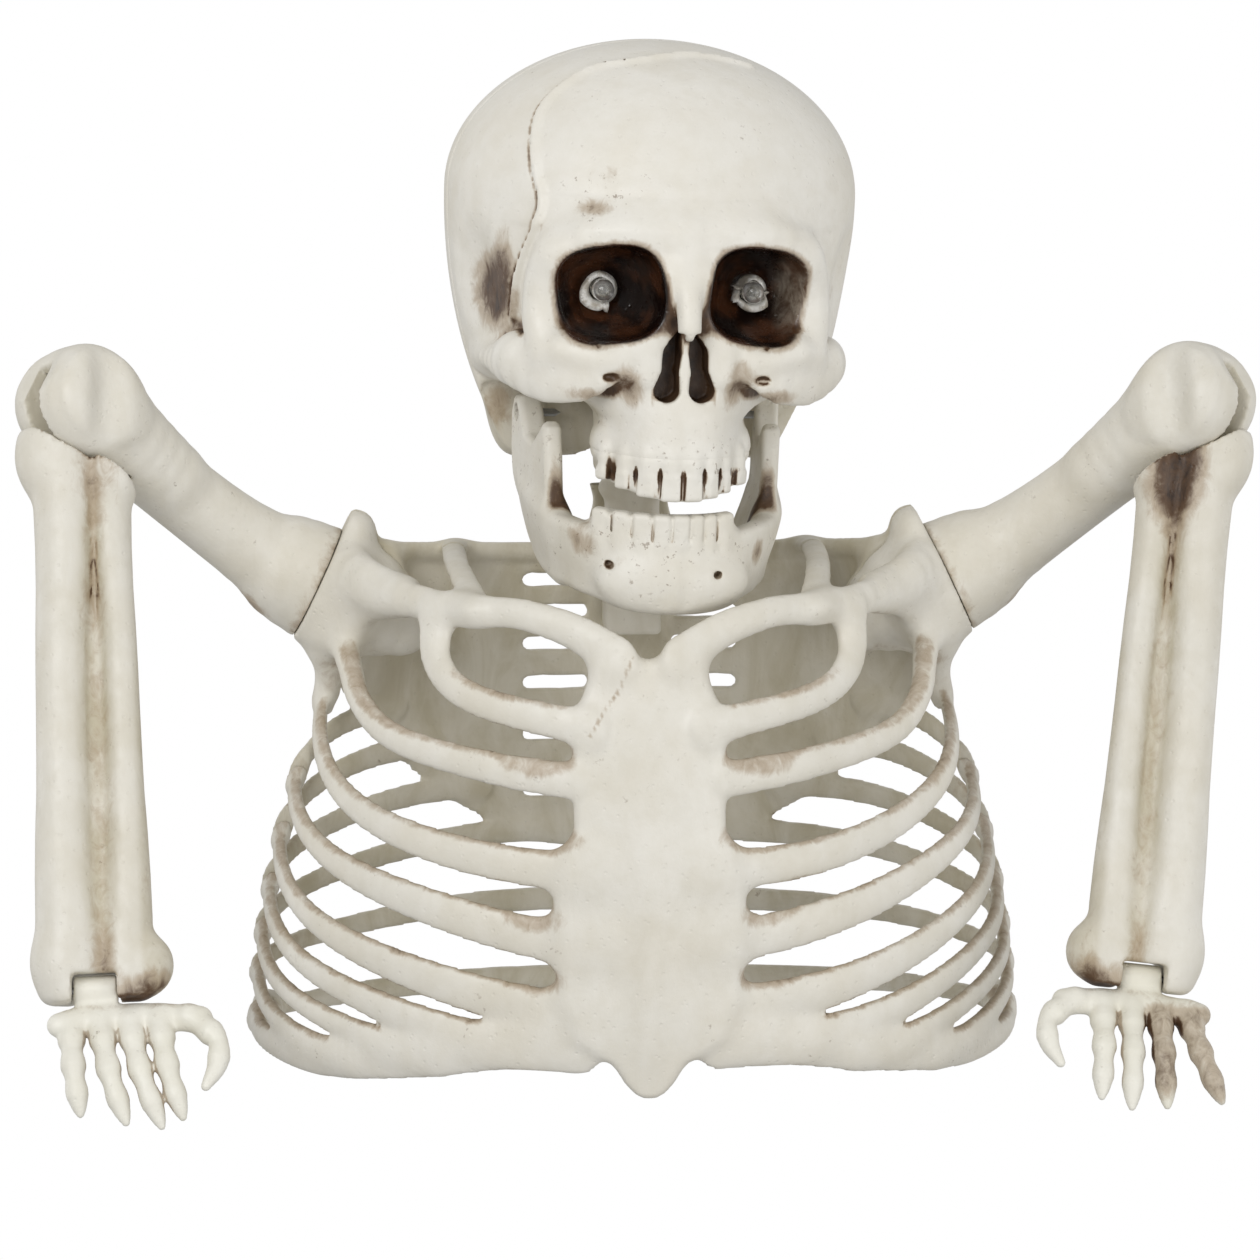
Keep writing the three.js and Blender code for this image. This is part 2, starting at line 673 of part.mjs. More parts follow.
// The spine: a flat band inside, with one swelling for each vertebra outside
function spineBand() {
  const count = Math.floor(CAGE_TOP_HEIGHT / VERTEBRA_PITCH);
  const rings = range(2 * count + 1).map((i) => {
    const z = (CAGE_TOP_HEIGHT * i) / (2 * count);
    const back = cageDepth(z, false);
    const w = SPINE_HALF_WIDTH;
    const knob = i % 2 ? VERTEBRA_SWELL : 0;
    return [
      vec(-w, back - 2, z),
      vec(-w, back - SPINE_THICKNESS, z),
      vec(w, back - SPINE_THICKNESS, z),
      vec(w, back - 2, z),
      vec(w * 0.5, back + 0.5 + knob, z),
      vec(-w * 0.5, back + 0.5 + knob, z),
    ];
  });
  return loft(rings);
}

function backShell() {
  const plate = cut(backPlate(), spineSlots());
  const oneSide = joined([
    plate,
    ...BACK_RIBS.map(backRib),
    topStrut(),
    topEdge(),
    rimScrewBoss(),
    shoulderBoss(),
  ]);
  const whole = joined([bothSides(oneSide), spineBand()]);
  const neckHoles = NECK_BASE_SCREWS.map(({ head, tip }) => screwHole(head, tip));
  const cutters = [...shellScrewHoles(), spigotPocket(), armRoom()].map(bothSides);
  const solid = cut(whole, [...cutters, ...neckHoles]).intersect(seamSide(false));
  return namedMesh("back_shell", solid, "bone");
}

// Neck: a block screwed to the spine, a column of vertebrae and a spigot for the head

const neckBackY = (z) => cageDepth(z, false) - SPINE_THICKNESS - SEAT_GAP;
const neckBaseScrew = (name, z) => ({
  name,
  head: vec(0, cageDepth(z, false) + 1.5, z),
  tip: vec(0, neckBackY(z) - 12, z),
});
const NECK_BASE_SCREWS = [
  neckBaseScrew("neck_base_screw_lower", CAGE_TOP_HEIGHT - 25),
  neckBaseScrew("neck_base_screw_upper", CAGE_TOP_HEIGHT - 9),
];

const headPivot = vec(0, NECK_Y, NECK_TURN_HEIGHT);

function neckPost() {
  const lobeCount = 4;
  const bottom = CAGE_TOP_HEIGHT - 15;
  const top = NECK_TURN_HEIGHT - 2;
  const lobeAt = (t) => NECK_RADIUS - 2.2 * (1 + Math.cos(2 * Math.PI * lobeCount * t)) * 0.5;
  const rings = evenly(lobeCount * 2).map((t) =>
    range(8).map((k) => {
      const angle = (k / 8) * 2 * Math.PI;
      const y = NECK_Y + lobeAt(t) * 0.85 * Math.sin(angle);
      return vec(lobeAt(t) * Math.cos(angle), y, mix(bottom, top, t));
    }),
  );
  const block = loft(
    [33, 17, 1].map((below) => CAGE_TOP_HEIGHT - below).map((z) => [
      vec(-11, NECK_Y - 8, z),
      vec(11, NECK_Y - 8, z),
      vec(11, neckBackY(z), z),
      vec(-11, neckBackY(z), z),
    ]),
  );
  const spines = range(lobeCount - 1).map((i) => {
    const z = mix(bottom, top, (i + 1.5) / lobeCount);
    return ellipsoid(vec(0, NECK_Y + NECK_RADIUS * 0.9, z), vec(3.5, 8, 4), 6, 4);
  });
  const spigot = rod(
    vec(0, NECK_Y, top - 2),
    vec(0, NECK_Y, SKULL_BASE + SKULL_WALL + SEAT_GAP),
    NECK_SPIGOT_RADIUS,
    NECK_SPIGOT_RADIUS,
    10,
  );
  const holes = [...NECK_BASE_SCREWS, headScrewLine()].map(({ head, tip }) => screwHole(head, tip));
  return namedMesh("neck_post", cut(joined([loft(rings), block, ...spines, spigot]), holes), "bone");
}

// The screw that runs down into the neck's spigot and the washer that traps the skull's base
const washerBottom = SKULL_BASE + SKULL_WALL + 2 * SEAT_GAP;
const WASHER_THICKNESS = 2;
const headScrewLine = () => ({
  head: vec(0, NECK_Y, washerBottom + WASHER_THICKNESS + SEAT_GAP + SCREW_HEAD_HEIGHT),
  tip: vec(0, NECK_Y, NECK_TURN_HEIGHT - 12),
});

function headWasher() {
  const outline = new THREE.Shape().absarc(0, 0, NECK_SPIGOT_RADIUS + 5, 0, 2 * Math.PI);
  outline.holes.push(new THREE.Path().absarc(0, 0, SCREW_RADIUS + SEAT_GAP, 0, 2 * Math.PI));
  const geometry = new THREE.ExtrudeGeometry(outline, {
    depth: WASHER_THICKNESS,
    bevelEnabled: false,
    curveSegments: 4,
  });
  geometry.translate(0, NECK_Y, washerBottom);
  return namedMesh("head_washer", solidFromGeometry(geometry), "steel");
}

// Skull, in the torso's coordinates before the head is turned and leaned

const domeFactor = (z, middle, up, down) =>
  Math.sqrt(Math.max(0.02, 1 - ((z - middle) / (z > middle ? up : down)) ** 2));

// The brain case as level slices from the base to the crown, drawn in by inset
function brainCase(inset, around = 18, levels = 8) {
  const rings = evenly(levels).map((step) => {
    const s = 0.5 - 0.5 * Math.cos(Math.PI * step);
    const z = mix(SKULL_BASE + inset, SKULL_TOP - inset, s);
    const share = (fullest, fall) => domeFactor(z, fullest, SKULL_TOP - inset - fullest, fall);
    const width = (SKULL_HALF_WIDTH - inset) * share(SKULL_WIDEST_HEIGHT, SIDE_FALL - inset);
    const front = (SKULL_FRONT - inset) * share(FOREHEAD_HEIGHT, FRONT_FALL);
    const back = (SKULL_BACK - inset) * share(NAPE_HEIGHT, BACK_FALL - inset);
    return range(around).map((k) => {
      const angle = (k / around) * 2 * Math.PI;
      const y = Math.sin(angle) > 0 ? back : front;
      return vec(width * Math.cos(angle), SKULL_MIDDLE_Y + y * Math.sin(angle), z);
    });
  });
  return loft(rings);
}

// The face under the forehead as level slices from the palate to the brow, drawn in by inset
function faceBlock(inset, around = 12) {
  const heights = [-12, -2, 10, 22, 38, 58, 78, 90].map((rise) => SKULL_BASE + rise);
  const halfWidths = [25, 27, 30, 37, 49, 57, 60, 56];
  const fronts = [100.5, 101, 99, 97, 95, 94.5, 95, 86];
  const rings = heights.map((z, i) => {
    const width = halfWidths[i] - inset;
    const front = fronts[i] - inset;
    const back = 28;
    const level = i === 0 ? z + inset * 2 : z;
    return range(around).map((k) => {
      const angle = (k / around) * 2 * Math.PI;
      const c = Math.cos(angle);
      const s = Math.sin(angle);
      const x = width * Math.sign(c) * Math.pow(Math.abs(c), 0.8);
      const middle = -(front + back) / 2;
      const y = middle + ((front - back) / 2) * s;
      return vec(x, y, level);
    });
  });
  return loft(rings);
}

// Cheekbone and the arch that runs back from it
function cheek() {
  const body = barThrough(
    [
      vec(30, -86, SKULL_BASE + 22),
      vec(46, -83, SKULL_BASE + 25),
      vec(59, -70, SKULL_BASE + 27),
      vec(66, -48, SKULL_BASE + 27),
      vec(67, -22, SKULL_BASE + 23),
    ],
    vec(0.5, -0.8, 0),
    (t) => [mix(7, 3.2, t), mix(12, 5, smooth(t))],
    6,
  );
  const orbitSide = barThrough(
    [vec(55, -74, ORBIT_Z - 30), vec(54, -76, ORBIT_Z - 6), vec(53, -78, ORBIT_Z + 20)],
    vec(0.5, -0.8, 0),
    () => [5.5, 6.5],
    3,
  );
  return joined([body, orbitSide]);
}

// Where the tooth row's middle line runs, at a distance x from its centre
const archY = (x, front) => front + DENTAL_ARCH_CURVE * x * x;

function toothRow(front, rootZ, edgeZ) {
  const teeth = range(TEETH_IN_A_ROW).map((i) => {
    const along = (i - (TEETH_IN_A_ROW - 1) / 2) * TOOTH_WIDTH;
    const x = along * (1 - 0.0032 * Math.abs(along));
    const slope = 2 * DENTAL_ARCH_CURVE * x;
    const ringAt = (z, wide, deep) => {
      const half = (TOOTH_WIDTH / 2) * wide;
      const depth = (TOOTH_DEPTH / 2) * deep;
      const corners = [
        [-half, -depth * 0.6],
        [0, -depth],
        [half, -depth * 0.6],
        [half, depth],
        [-half, depth],
      ];
      const turn = Math.atan(slope);
      return corners.map(([a, b]) =>
        vec(
          x + a * Math.cos(turn) - b * Math.sin(turn),
          archY(x, front) + a * Math.sin(turn) + b * Math.cos(turn),
          z,
        ),
      );
    };
    return loft([ringAt(rootZ, 0.8, 1.1), ringAt(edgeZ, 0.92, 0.8)]);
  });
  return joined(teeth);
}

// The bar of bone that carries a row of teeth
function gumBar(front, z) {
  const half = (TEETH_IN_A_ROW / 2) * TOOTH_WIDTH * 0.88;
  return bar(
    (t) => {
      const x = mix(-half, half, t);
      return vec(x, archY(x, front), z);
    },
    () => vec(0, -1, 0),
    () => [4, 6],
    evenly(6),
  );
}

function orbitShape(grow) {
  const shape = ellipsoid(
    vec(0, 0, 0),
    vec(ORBIT_HALF_WIDTH + grow, ORBIT_DEPTH + grow, ORBIT_HALF_HEIGHT + grow),
    grow > 0 ? 8 : 12,
    grow > 0 ? 5 : 7,
  );
  const geometry = geometryFromSolid(shape);
  const position = geometry.attributes.position;
  for (let i = 0; i < position.count; i += 1) {
    const p = new THREE.Vector3().fromBufferAttribute(position, i);
    const square = 1 + 0.1 * Math.sin(2 * Math.atan2(p.z, p.x)) ** 2;
    position.setXYZ(i, p.x * square, p.y, p.z * square);
  }
  const place = new THREE.Matrix4().makeRotationY(radians(8));
  place.setPosition(ORBIT_X, ORBIT_MOUTH_Y, ORBIT_Z);
  return placed(geometry, place);
}

// One half of the nose's opening: a tall slot, wider at the bottom
function nostril() {
  const outline = new THREE.Shape();
  outline.moveTo(1.6, NOSE_TOP);
  outline.quadraticCurveTo(7, mix(NOSE_BOTTOM, NOSE_TOP, 0.75), 7.5, mix(NOSE_BOTTOM, NOSE_TOP, 0.5));
  outline.quadraticCurveTo(13, mix(NOSE_BOTTOM, NOSE_TOP, 0.2), 8, NOSE_BOTTOM);
  outline.lineTo(3, NOSE_BOTTOM + 1);
  outline.quadraticCurveTo(2, mix(NOSE_BOTTOM, NOSE_TOP, 0.5), 1.6, NOSE_TOP);
  const inFront = 12;
  const depth = NOSE_DEPTH + inFront;
  const geometry = new THREE.ExtrudeGeometry(outline, { depth, bevelEnabled: false, curveSegments: 4 });
  geometry.applyMatrix4(new THREE.Matrix4().makeRotationX(Math.PI / 2));
  geometry.translate(0, FACE_FRONT_Y + NOSE_DEPTH, 0);
  return solidFromGeometry(geometry);
}

// The bridge and the short bones over the nose
function noseBridge() {
  return barThrough(
    [
      vec(0, -92, NOSE_TOP + 31),
      vec(0, -93.5, NOSE_TOP + 21),
      vec(0, -98, NOSE_TOP + 10),
      vec(0, -101, NOSE_TOP + 2),
    ],
    vec(0, -1, 0),
    (t) => [5, mix(7, 6, t)],
    5,
  );
}

const jawEarLow = vec(29, JAW_HINGE_Y - 5.5, JAW_HINGE_Z - 6);
const RAMUS_INNER = JAW_HALF_WIDTH - JAW_THICKNESS / 2;

// The ear inside the jaw that takes the jaw's pin
function jawEar() {
  return box(jawEarLow, vec(RAMUS_INNER - TURN_GAP, JAW_HINGE_Y + 5.5, SKULL_BASE + 22));
}

const jawPinLine = () => ({
  head: vec(JAW_HALF_WIDTH + JAW_THICKNESS / 2 + 0.5, JAW_HINGE_Y, JAW_HINGE_Z),
  tip: vec(33, JAW_HINGE_Y, JAW_HINGE_Z),
});

// Screws from the back half of the skull into the face half
const SKULL_SCREWS = [
  { name: "skull_screw_left", x: -58, z: SKULL_BASE + 22 },
  { name: "skull_screw_right", x: 58, z: SKULL_BASE + 22 },
];
const skullScrewLine = ({ x, z }) => ({
  head: vec(x, SKULL_SEAM_Y + 10, z),
  tip: vec(x, SKULL_SEAM_Y - 10, z),
});

// The knob of bone that hangs below the base, behind the jaw's hinge
function baseKnob() {
  return ellipsoid(
    vec(JAW_HALF_WIDTH - 6, SKULL_MIDDLE_Y + 24, SKULL_BASE),
    vec(16, 24, BASE_KNOB_DROP),
    10,
    6,
  );
}

const TEMPLE_CENTRE = vec(84, -46, SKULL_BASE + 50);
const TEMPLE_RADII = vec(20, 24, 30);

// Everything of both halves, before the seam parts them
function wholeSkull() {
  const templeInner = TEMPLE_RADII.clone().addScalar(SKULL_WALL);
  const side = SKULL_HALF_WIDTH + 15;
  const below = SKULL_BASE - 40;
  const above = SKULL_TOP + 20;
  const ahead = -SKULL_FRONT - 40;
  const behind = SKULL_BACK + 40;
  const clearForJaw = box(vec(-side, ahead, below), vec(side, SKULL_SEAM_Y, JAW_ROOM_HEIGHT));
  const outerCase = brainCase(0).subtract(clearForJaw);
  const backFlat = box(vec(-side, BAY_FACE_Y, below), vec(side, behind, above));
  const temple = bothSides(ellipsoid(TEMPLE_CENTRE, TEMPLE_RADII, 10, 6));
  const outer = joined([outerCase, faceBlock(0), noseBridge()]).subtract(backFlat).subtract(temple);
  const innerFloor = box(vec(-side, ahead, below), vec(side, SKULL_SEAM_Y, JAW_ROOM_HEIGHT + SKULL_WALL));
  const innerCase = brainCase(SKULL_WALL, 12, 6)
    .subtract(box(vec(-side, BAY_FACE_Y - PAD_THICKNESS, below), vec(side, behind, above)))
    .subtract(bothSides(ellipsoid(TEMPLE_CENTRE, templeInner, 8, 5)))
    .subtract(innerFloor);
  const innerFace = faceBlock(SKULL_WALL + 0.6, 8)
    .subtract(box(vec(-side, ahead, below), vec(side, JAW_HINGE_Y, SKULL_BASE + 12)))
    .subtract(box(vec(-side, JAW_HINGE_Y - 8, below), vec(side, 0, SKULL_BASE + 20)));
  const hollow = joined([innerCase, innerFace]);
  const cups = bothSides(orbitShape(SKULL_WALL)).intersect(outer);
  const noseBack = FACE_FRONT_Y + NOSE_DEPTH + 5;
  const noseBlock = box(
    vec(-14, FACE_FRONT_Y + 2, NOSE_BOTTOM - 3),
    vec(14, noseBack, NOSE_TOP + 3),
  ).intersect(outer);
  const extras = [
    cups,
    noseBlock,
    bothSides(cheek()),
    bothSides(jawEar()),
    bothSides(baseKnob()),
    toothRow(-99.5, UPPER_TEETH_EDGE + TOOTH_HEIGHT + 1, UPPER_TEETH_EDGE),
    gumBar(-97.5, UPPER_TEETH_EDGE + TOOTH_HEIGHT + 4),
  ];
  const shell = joined([outer.subtract(hollow), ...extras]);
  const bossFor = ({ x, z }) =>
    rod(vec(x, SKULL_SEAM_Y + 13, z), vec(x, SKULL_SEAM_Y - 13, z), 5.5, 5.5, 8);
  const doorLine = doorScrewLine();
  const doorBoss = rod(
    vec(0, BAY_FACE_Y - PAD_THICKNESS + 1, doorLine.tip.z),
    vec(0, doorLine.tip.y - 2, doorLine.tip.z),
    4,
    4,
    8,
  );
  const bosses = joined([...SKULL_SCREWS.map(bossFor), doorBoss]).intersect(outer);
  const ledHole = rod(
    vec(ORBIT_X, LED_TIP_Y, ORBIT_Z),
    vec(ORBIT_X, LED_TIP_Y + 40, ORBIT_Z),
    LED_RADIUS + SEAT_GAP,
    LED_RADIUS + SEAT_GAP,
    8,
  );
  const neckHole = rod(
    vec(0, NECK_Y, SKULL_BASE - 5),
    vec(0, NECK_Y, SKULL_BASE + 8),
    NECK_SPIGOT_RADIUS + TURN_GAP,
    NECK_SPIGOT_RADIUS + TURN_GAP,
    12,
  );
  const pin = jawPinLine();
  return cut(joined([shell, bosses]), [
    bothSides(orbitShape(0)),
    bothSides(ledHole),
    bothSides(nostril()),
    bothSides(screwHole(pin.head, pin.tip)),
    neckHole,
    bayOpening(),
    ...SKULL_SCREWS.map((one) => {
      const line = skullScrewLine(one);
      return screwHole(line.head, line.tip);
    }),
  ]);
}

function skullHalves() {
  const whole = wholeSkull();
  const reach = 200;
  const above = SKULL_TOP + reach;
  const frontSide = box(vec(-reach, -reach, 0), vec(reach, SKULL_SEAM_Y - SEAT_GAP / 2, above));
  const backSide = box(vec(-reach, SKULL_SEAM_Y + SEAT_GAP / 2, 0), vec(reach, reach, above));
  return [
    namedMesh("skull_face", whole.intersect(frontSide), "bone"),
    namedMesh("skull_cranium", whole.intersect(backSide), "bone"),
  ];
}

// Battery bay, in the flat at the back of the skull

const bayHalfWidth = 2 * CELL_RADIUS + 1 + BAY_WALL;
const bayHalfHeight = CELL_LENGTH / 2 + 3 + BAY_WALL;
const bayDepth = 2 * CELL_RADIUS + 1.4 + BAY_WALL;
const doorHalfWidth = bayHalfWidth + 3;
const doorHalfHeight = bayHalfHeight + 6;
const doorSeatY = BAY_FACE_Y - DOOR_THICKNESS;

function bayOpening() {
  const doorRecess = boxAbout(
    vec(0, doorSeatY + 5, BAY_Z),
    vec(doorHalfWidth + TURN_GAP, 5 + SEAT_GAP, doorHalfHeight + TURN_GAP),
  );
  const tray = boxAbout(
    vec(0, BAY_FACE_Y, BAY_Z),
    vec(bayHalfWidth + SEAT_GAP, 20, bayHalfHeight + SEAT_GAP),
  );
  const slot = boxAbout(
    vec(SWITCH_X, BAY_FACE_Y, BAY_Z),
    vec(2 + SEAT_GAP, 8, 3 + SWITCH_TRAVEL / 2 + SEAT_GAP),
  );
  const padInner = BAY_FACE_Y - PAD_THICKNESS;
  const sliderRoom = box(
    vec(SWITCH_X - 4, padInner - 3, BAY_Z - SWITCH_TRAVEL - 7),
    vec(SWITCH_X + 4, padInner, BAY_Z + SWITCH_TRAVEL + 7),
  );
  const screwLine = doorScrewLine();
  return joined([doorRecess, tray, slot, sliderRoom, screwHole(screwLine.head, screwLine.tip)]);
}

function batteryBay() {
  const mouth = doorSeatY - SEAT_GAP;
  const outer = box(
    vec(-bayHalfWidth, mouth - bayDepth, BAY_Z - bayHalfHeight),
    vec(bayHalfWidth, mouth, BAY_Z + bayHalfHeight),
  );
  const inner = box(
    vec(-bayHalfWidth + BAY_WALL, mouth - bayDepth + BAY_WALL, BAY_Z - bayHalfHeight + BAY_WALL),
    vec(bayHalfWidth - BAY_WALL, mouth + 5, BAY_Z + bayHalfHeight - BAY_WALL),
  );
  const leadHole = rod(vec(0, 40, BAY_Z + 6), vec(0, 60, BAY_Z + 6), 2.5, 2.5, 10);
  const cellY = mouth - CELL_RADIUS - 0.5;
  const cells = [-1, 1].map((side, i) => {
    const x = side * (CELL_RADIUS + 0.35);
    const body = rod(
      vec(x, cellY, BAY_Z - CELL_LENGTH / 2),
      vec(x, cellY, BAY_Z + CELL_LENGTH / 2 - 1.2),
      CELL_RADIUS,
      CELL_RADIUS,
      12,
    );
    const button = rod(
      vec(x, cellY, BAY_Z + CELL_LENGTH / 2 - 2),
      vec(x, cellY, BAY_Z + CELL_LENGTH / 2),
      CELL_RADIUS * 0.36,
      CELL_RADIUS * 0.36,
      6,
    );
    return namedMesh(["battery_left", "battery_right"][i], joined([body, button]), "cell");
  });
  const contacts = [-1, 1].map((side, i) => {
    const outerZ = BAY_Z + side * (CELL_LENGTH / 2 + 3 - SEAT_GAP);
    const innerZ = BAY_Z + side * (CELL_LENGTH / 2 + SEAT_GAP);
    const low = vec(-bayHalfWidth + BAY_WALL + SEAT_GAP, cellY - 4, Math.min(outerZ, innerZ));
    const high = vec(bayHalfWidth - BAY_WALL - SEAT_GAP, cellY + 4, Math.max(outerZ, innerZ));
    return namedMesh(["contact_lower", "contact_upper"][i], box(low, high), "steel");
  });
  return [namedMesh("battery_bay", cut(outer.subtract(inner), [leadHole]), "black"), ...cells, ...contacts];
}

const doorScrewLine = () => ({
  head: vec(0, BAY_FACE_Y + SCREW_HEAD_HEIGHT + SEAT_GAP, BAY_Z - doorHalfHeight + 3),
  tip: vec(0, BAY_FACE_Y - 8, BAY_Z - doorHalfHeight + 3),
});

function batteryDoor() {
  const plate = boxAbout(
    vec(0, BAY_FACE_Y - DOOR_THICKNESS / 2, BAY_Z),
    vec(doorHalfWidth, DOOR_THICKNESS / 2, doorHalfHeight),
  );
  const grips = range(3).map((i) =>
    boxAbout(vec(0, BAY_FACE_Y, BAY_Z + doorHalfHeight - 6 - i * 2.6), vec(6, 0.5, 0.6)),
  );
  const line = doorScrewLine();
  return namedMesh("battery_door", cut(plate, [...grips, screwHole(line.head, line.tip)]), "bone");
}

function switchSlider() {
  const innerY = BAY_FACE_Y - PAD_THICKNESS - SEAT_GAP;
  const plate = box(
    vec(SWITCH_X - 3.2, innerY - 1.4, BAY_Z - SWITCH_TRAVEL / 2 - 6),
    vec(SWITCH_X + 2.4, innerY, BAY_Z - SWITCH_TRAVEL / 2 + 6),
  );
  const nub = boxAbout(
    vec(SWITCH_X, mix(innerY - 1, BAY_FACE_Y + 1.4, 0.5), BAY_Z - SWITCH_TRAVEL / 2),
    vec(2, (BAY_FACE_Y + 2.4 - innerY) / 2, 3),
  );
  return namedMesh("switch_slider", joined([plate, nub]), "black");
}

// Eyes: a round-nosed LED in the back of each socket, its collar of glue and its lead

function ledMesh(side, name) {
  const profilePoints = [
    new THREE.Vector2(0, 0),
    ...range(3).map((i) => {
      const angle = (i + 1) * (Math.PI / 6);
      return new THREE.Vector2(LED_RADIUS * Math.sin(angle), LED_RADIUS * (1 - Math.cos(angle)));
    }),
    new THREE.Vector2(LED_RADIUS, LED_LENGTH),
    new THREE.Vector2(0, LED_LENGTH),
  ];
  const geometry = new THREE.LatheGeometry(profilePoints, 8);
  geometry.translate(0, LED_TIP_Y, 0);
  geometry.translate(side * ORBIT_X, 0, ORBIT_Z);
  return namedMesh(name, lathedSolid(geometry), "clear");
}

// A lathed geometry as a solid, turned the right way out
function lathedSolid(geometry) {
  const solid = solidFromGeometry(geometry);
  if (solid.volume() > 0) return solid;
  const flipped = geometry.clone();
  flipped.setIndex([...geometry.index.array].reverse());
  return solidFromGeometry(flipped);
}

// The collar's back edge rests on the socket's wall, which curves away behind it
function glueCollar(side, name) {
  const inner = LED_RADIUS + SEAT_GAP;
  const outer = inner + GLUE_WIDTH;
  const wallDepth = ORBIT_DEPTH * Math.sqrt(1 - (outer / ORBIT_HALF_HEIGHT) ** 2);
  const back = ORBIT_MOUTH_Y + wallDepth - FACET_DIP - SEAT_GAP;
  const outline = [
    new THREE.Vector2(inner, back - GLUE_HEIGHT * 0.9),
    new THREE.Vector2(inner + GLUE_WIDTH * 0.35, back - GLUE_HEIGHT),
    new THREE.Vector2(inner + GLUE_WIDTH * 0.75, back - GLUE_HEIGHT * 0.5),
    new THREE.Vector2(outer, back),
    new THREE.Vector2(inner, back),
    new THREE.Vector2(inner, back - GLUE_HEIGHT * 0.9),
  ];
  const geometry = new THREE.LatheGeometry(outline, 8);
  geometry.translate(side * ORBIT_X, 0, ORBIT_Z);
  return namedMesh(name, lathedSolid(geometry), "glue");
}

function ledLead(side, name) {
  const start = vec(side * ORBIT_X, LED_TIP_Y + LED_LENGTH + SEAT_GAP, ORBIT_Z);
  const bayFront = doorSeatY - SEAT_GAP - bayDepth - SEAT_GAP;
  const route = new THREE.CatmullRomCurve3([
    start,
    vec(side * ORBIT_X, start.y + 12, ORBIT_Z + 1),
    vec(side * 22, -10, BAY_Z - 6),
    vec(side * 9, 25, BAY_Z + 8),
    vec(side * 4, bayFront - 6, BAY_Z + 7),
    vec(side * 4, bayFront, BAY_Z + 6),
  ]);
  const outline = new THREE.Shape().absarc(0, 0, LEAD_RADIUS, 0, 2 * Math.PI);
  const geometry = new THREE.ExtrudeGeometry(outline, {
    extrudePath: route,
    steps: 8,
    curveSegments: 2,
    bevelEnabled: false,
  });
  return namedMesh(name, solidFromGeometry(geometry), "lead");
}

// Lower jaw, in the closed position

function jawBody() {
  const path = (t) => {
    const angle = Math.PI * (0.5 - t);
    const x = -(JAW_HALF_WIDTH - 1) * Math.sin(angle);
    const y = JAW_FRONT_Y + JAW_BODY_LENGTH * (1 - Math.pow(Math.cos(angle), 0.8));
    return vec(x, y, JAW_BODY_Z);
  };
  const outward = (t) => vec(path(t).x * 1.2, path(t).y - JAW_FRONT_Y - JAW_BODY_LENGTH, 0);
  const halves = (t) => {
    const nearChin = 1 - Math.abs(2 * t - 1);
    return [mix(JAW_THICKNESS / 2, JAW_THICKNESS / 2 + 1.5, nearChin), mix(11, 15.5, nearChin)];
  };
  return bar(path, outward, halves, evenly(8), 6);
}

// One upright branch of the jaw as a plate, drawn about its hinge: front edge, coronoid, notch,
// condyle and the angle below
function ramus() {
  const outline = new THREE.Shape();
  outline.moveTo(-42, -36);
  outline.quadraticCurveTo(-38, -16, -34, 2);
  outline.quadraticCurveTo(-30, 8, -27, 2);
  outline.quadraticCurveTo(-18, -10, -8, -2);
  outline.absarc(0, 0, 7, radians(160), radians(-30), true);
  outline.quadraticCurveTo(6, -22, -2, -38);
  outline.quadraticCurveTo(-8, -48, -24, -48);
  outline.lineTo(-40, -47);
  outline.lineTo(-42, -36);
  const geometry = new THREE.ExtrudeGeometry(outline, {
    depth: JAW_THICKNESS - 2,
    bevelEnabled: true,
    bevelThickness: 1,
    bevelSize: 1,
    bevelOffset: -1,
    bevelSegments: 1,
    curveSegments: 2,
  });
  const turn = new THREE.Matrix4().set(0, 0, 1, 0, 1, 0, 0, 0, 0, 1, 0, 0, 0, 0, 0, 1);
  geometry.applyMatrix4(turn);
  geometry.translate(RAMUS_INNER + 1, JAW_HINGE_Y, JAW_HINGE_Z);
  return solidFromGeometry(geometry);
}

function mandible() {
  const chin = ellipsoid(vec(0, -96, CHIN_BOTTOM + 9), vec(17, 7, 9), 8, 5);
  const rootZ = JAW_BODY_Z + 6;
  const teeth = toothRow(-96.5, rootZ, UPPER_TEETH_EDGE + 2.5);
  const pin = jawPinLine();
  const solid = joined([jawBody(), bothSides(ramus()), chin, teeth, gumBar(-95.5, rootZ)]);
  return namedMesh("mandible", cut(solid, [bothSides(screwHole(pin.head, pin.tip))]), "bone");
}

// Arms. Each is built as the +X one and mirrored for the other side.

// Humerus frame: origin at the shoulder's face, X along the joint's axis, Z towards the bend
const shaftWay = vec(Math.cos(radians(HUMERUS_BEND)), 0, Math.sin(radians(HUMERUS_BEND)));
const elbowAxis = vec(-Math.sin(radians(HUMERUS_BEND)), 0, Math.cos(radians(HUMERUS_BEND)));
const elbowPoint = shaftWay.clone().multiplyScalar(HUMERUS_LENGTH);

// Rest matrix of the elbow in the humerus frame: X along the pin, Z from the wrist to the elbow
function elbowFrame(interiorAngle) {
  const down = shaftWay.clone().negate().applyAxisAngle(elbowAxis, radians(interiorAngle));
  const up = down.clone().negate();
  const side = up.clone().cross(elbowAxis);
  return new THREE.Matrix4().makeBasis(elbowAxis, side, up).setPosition(elbowPoint);
}

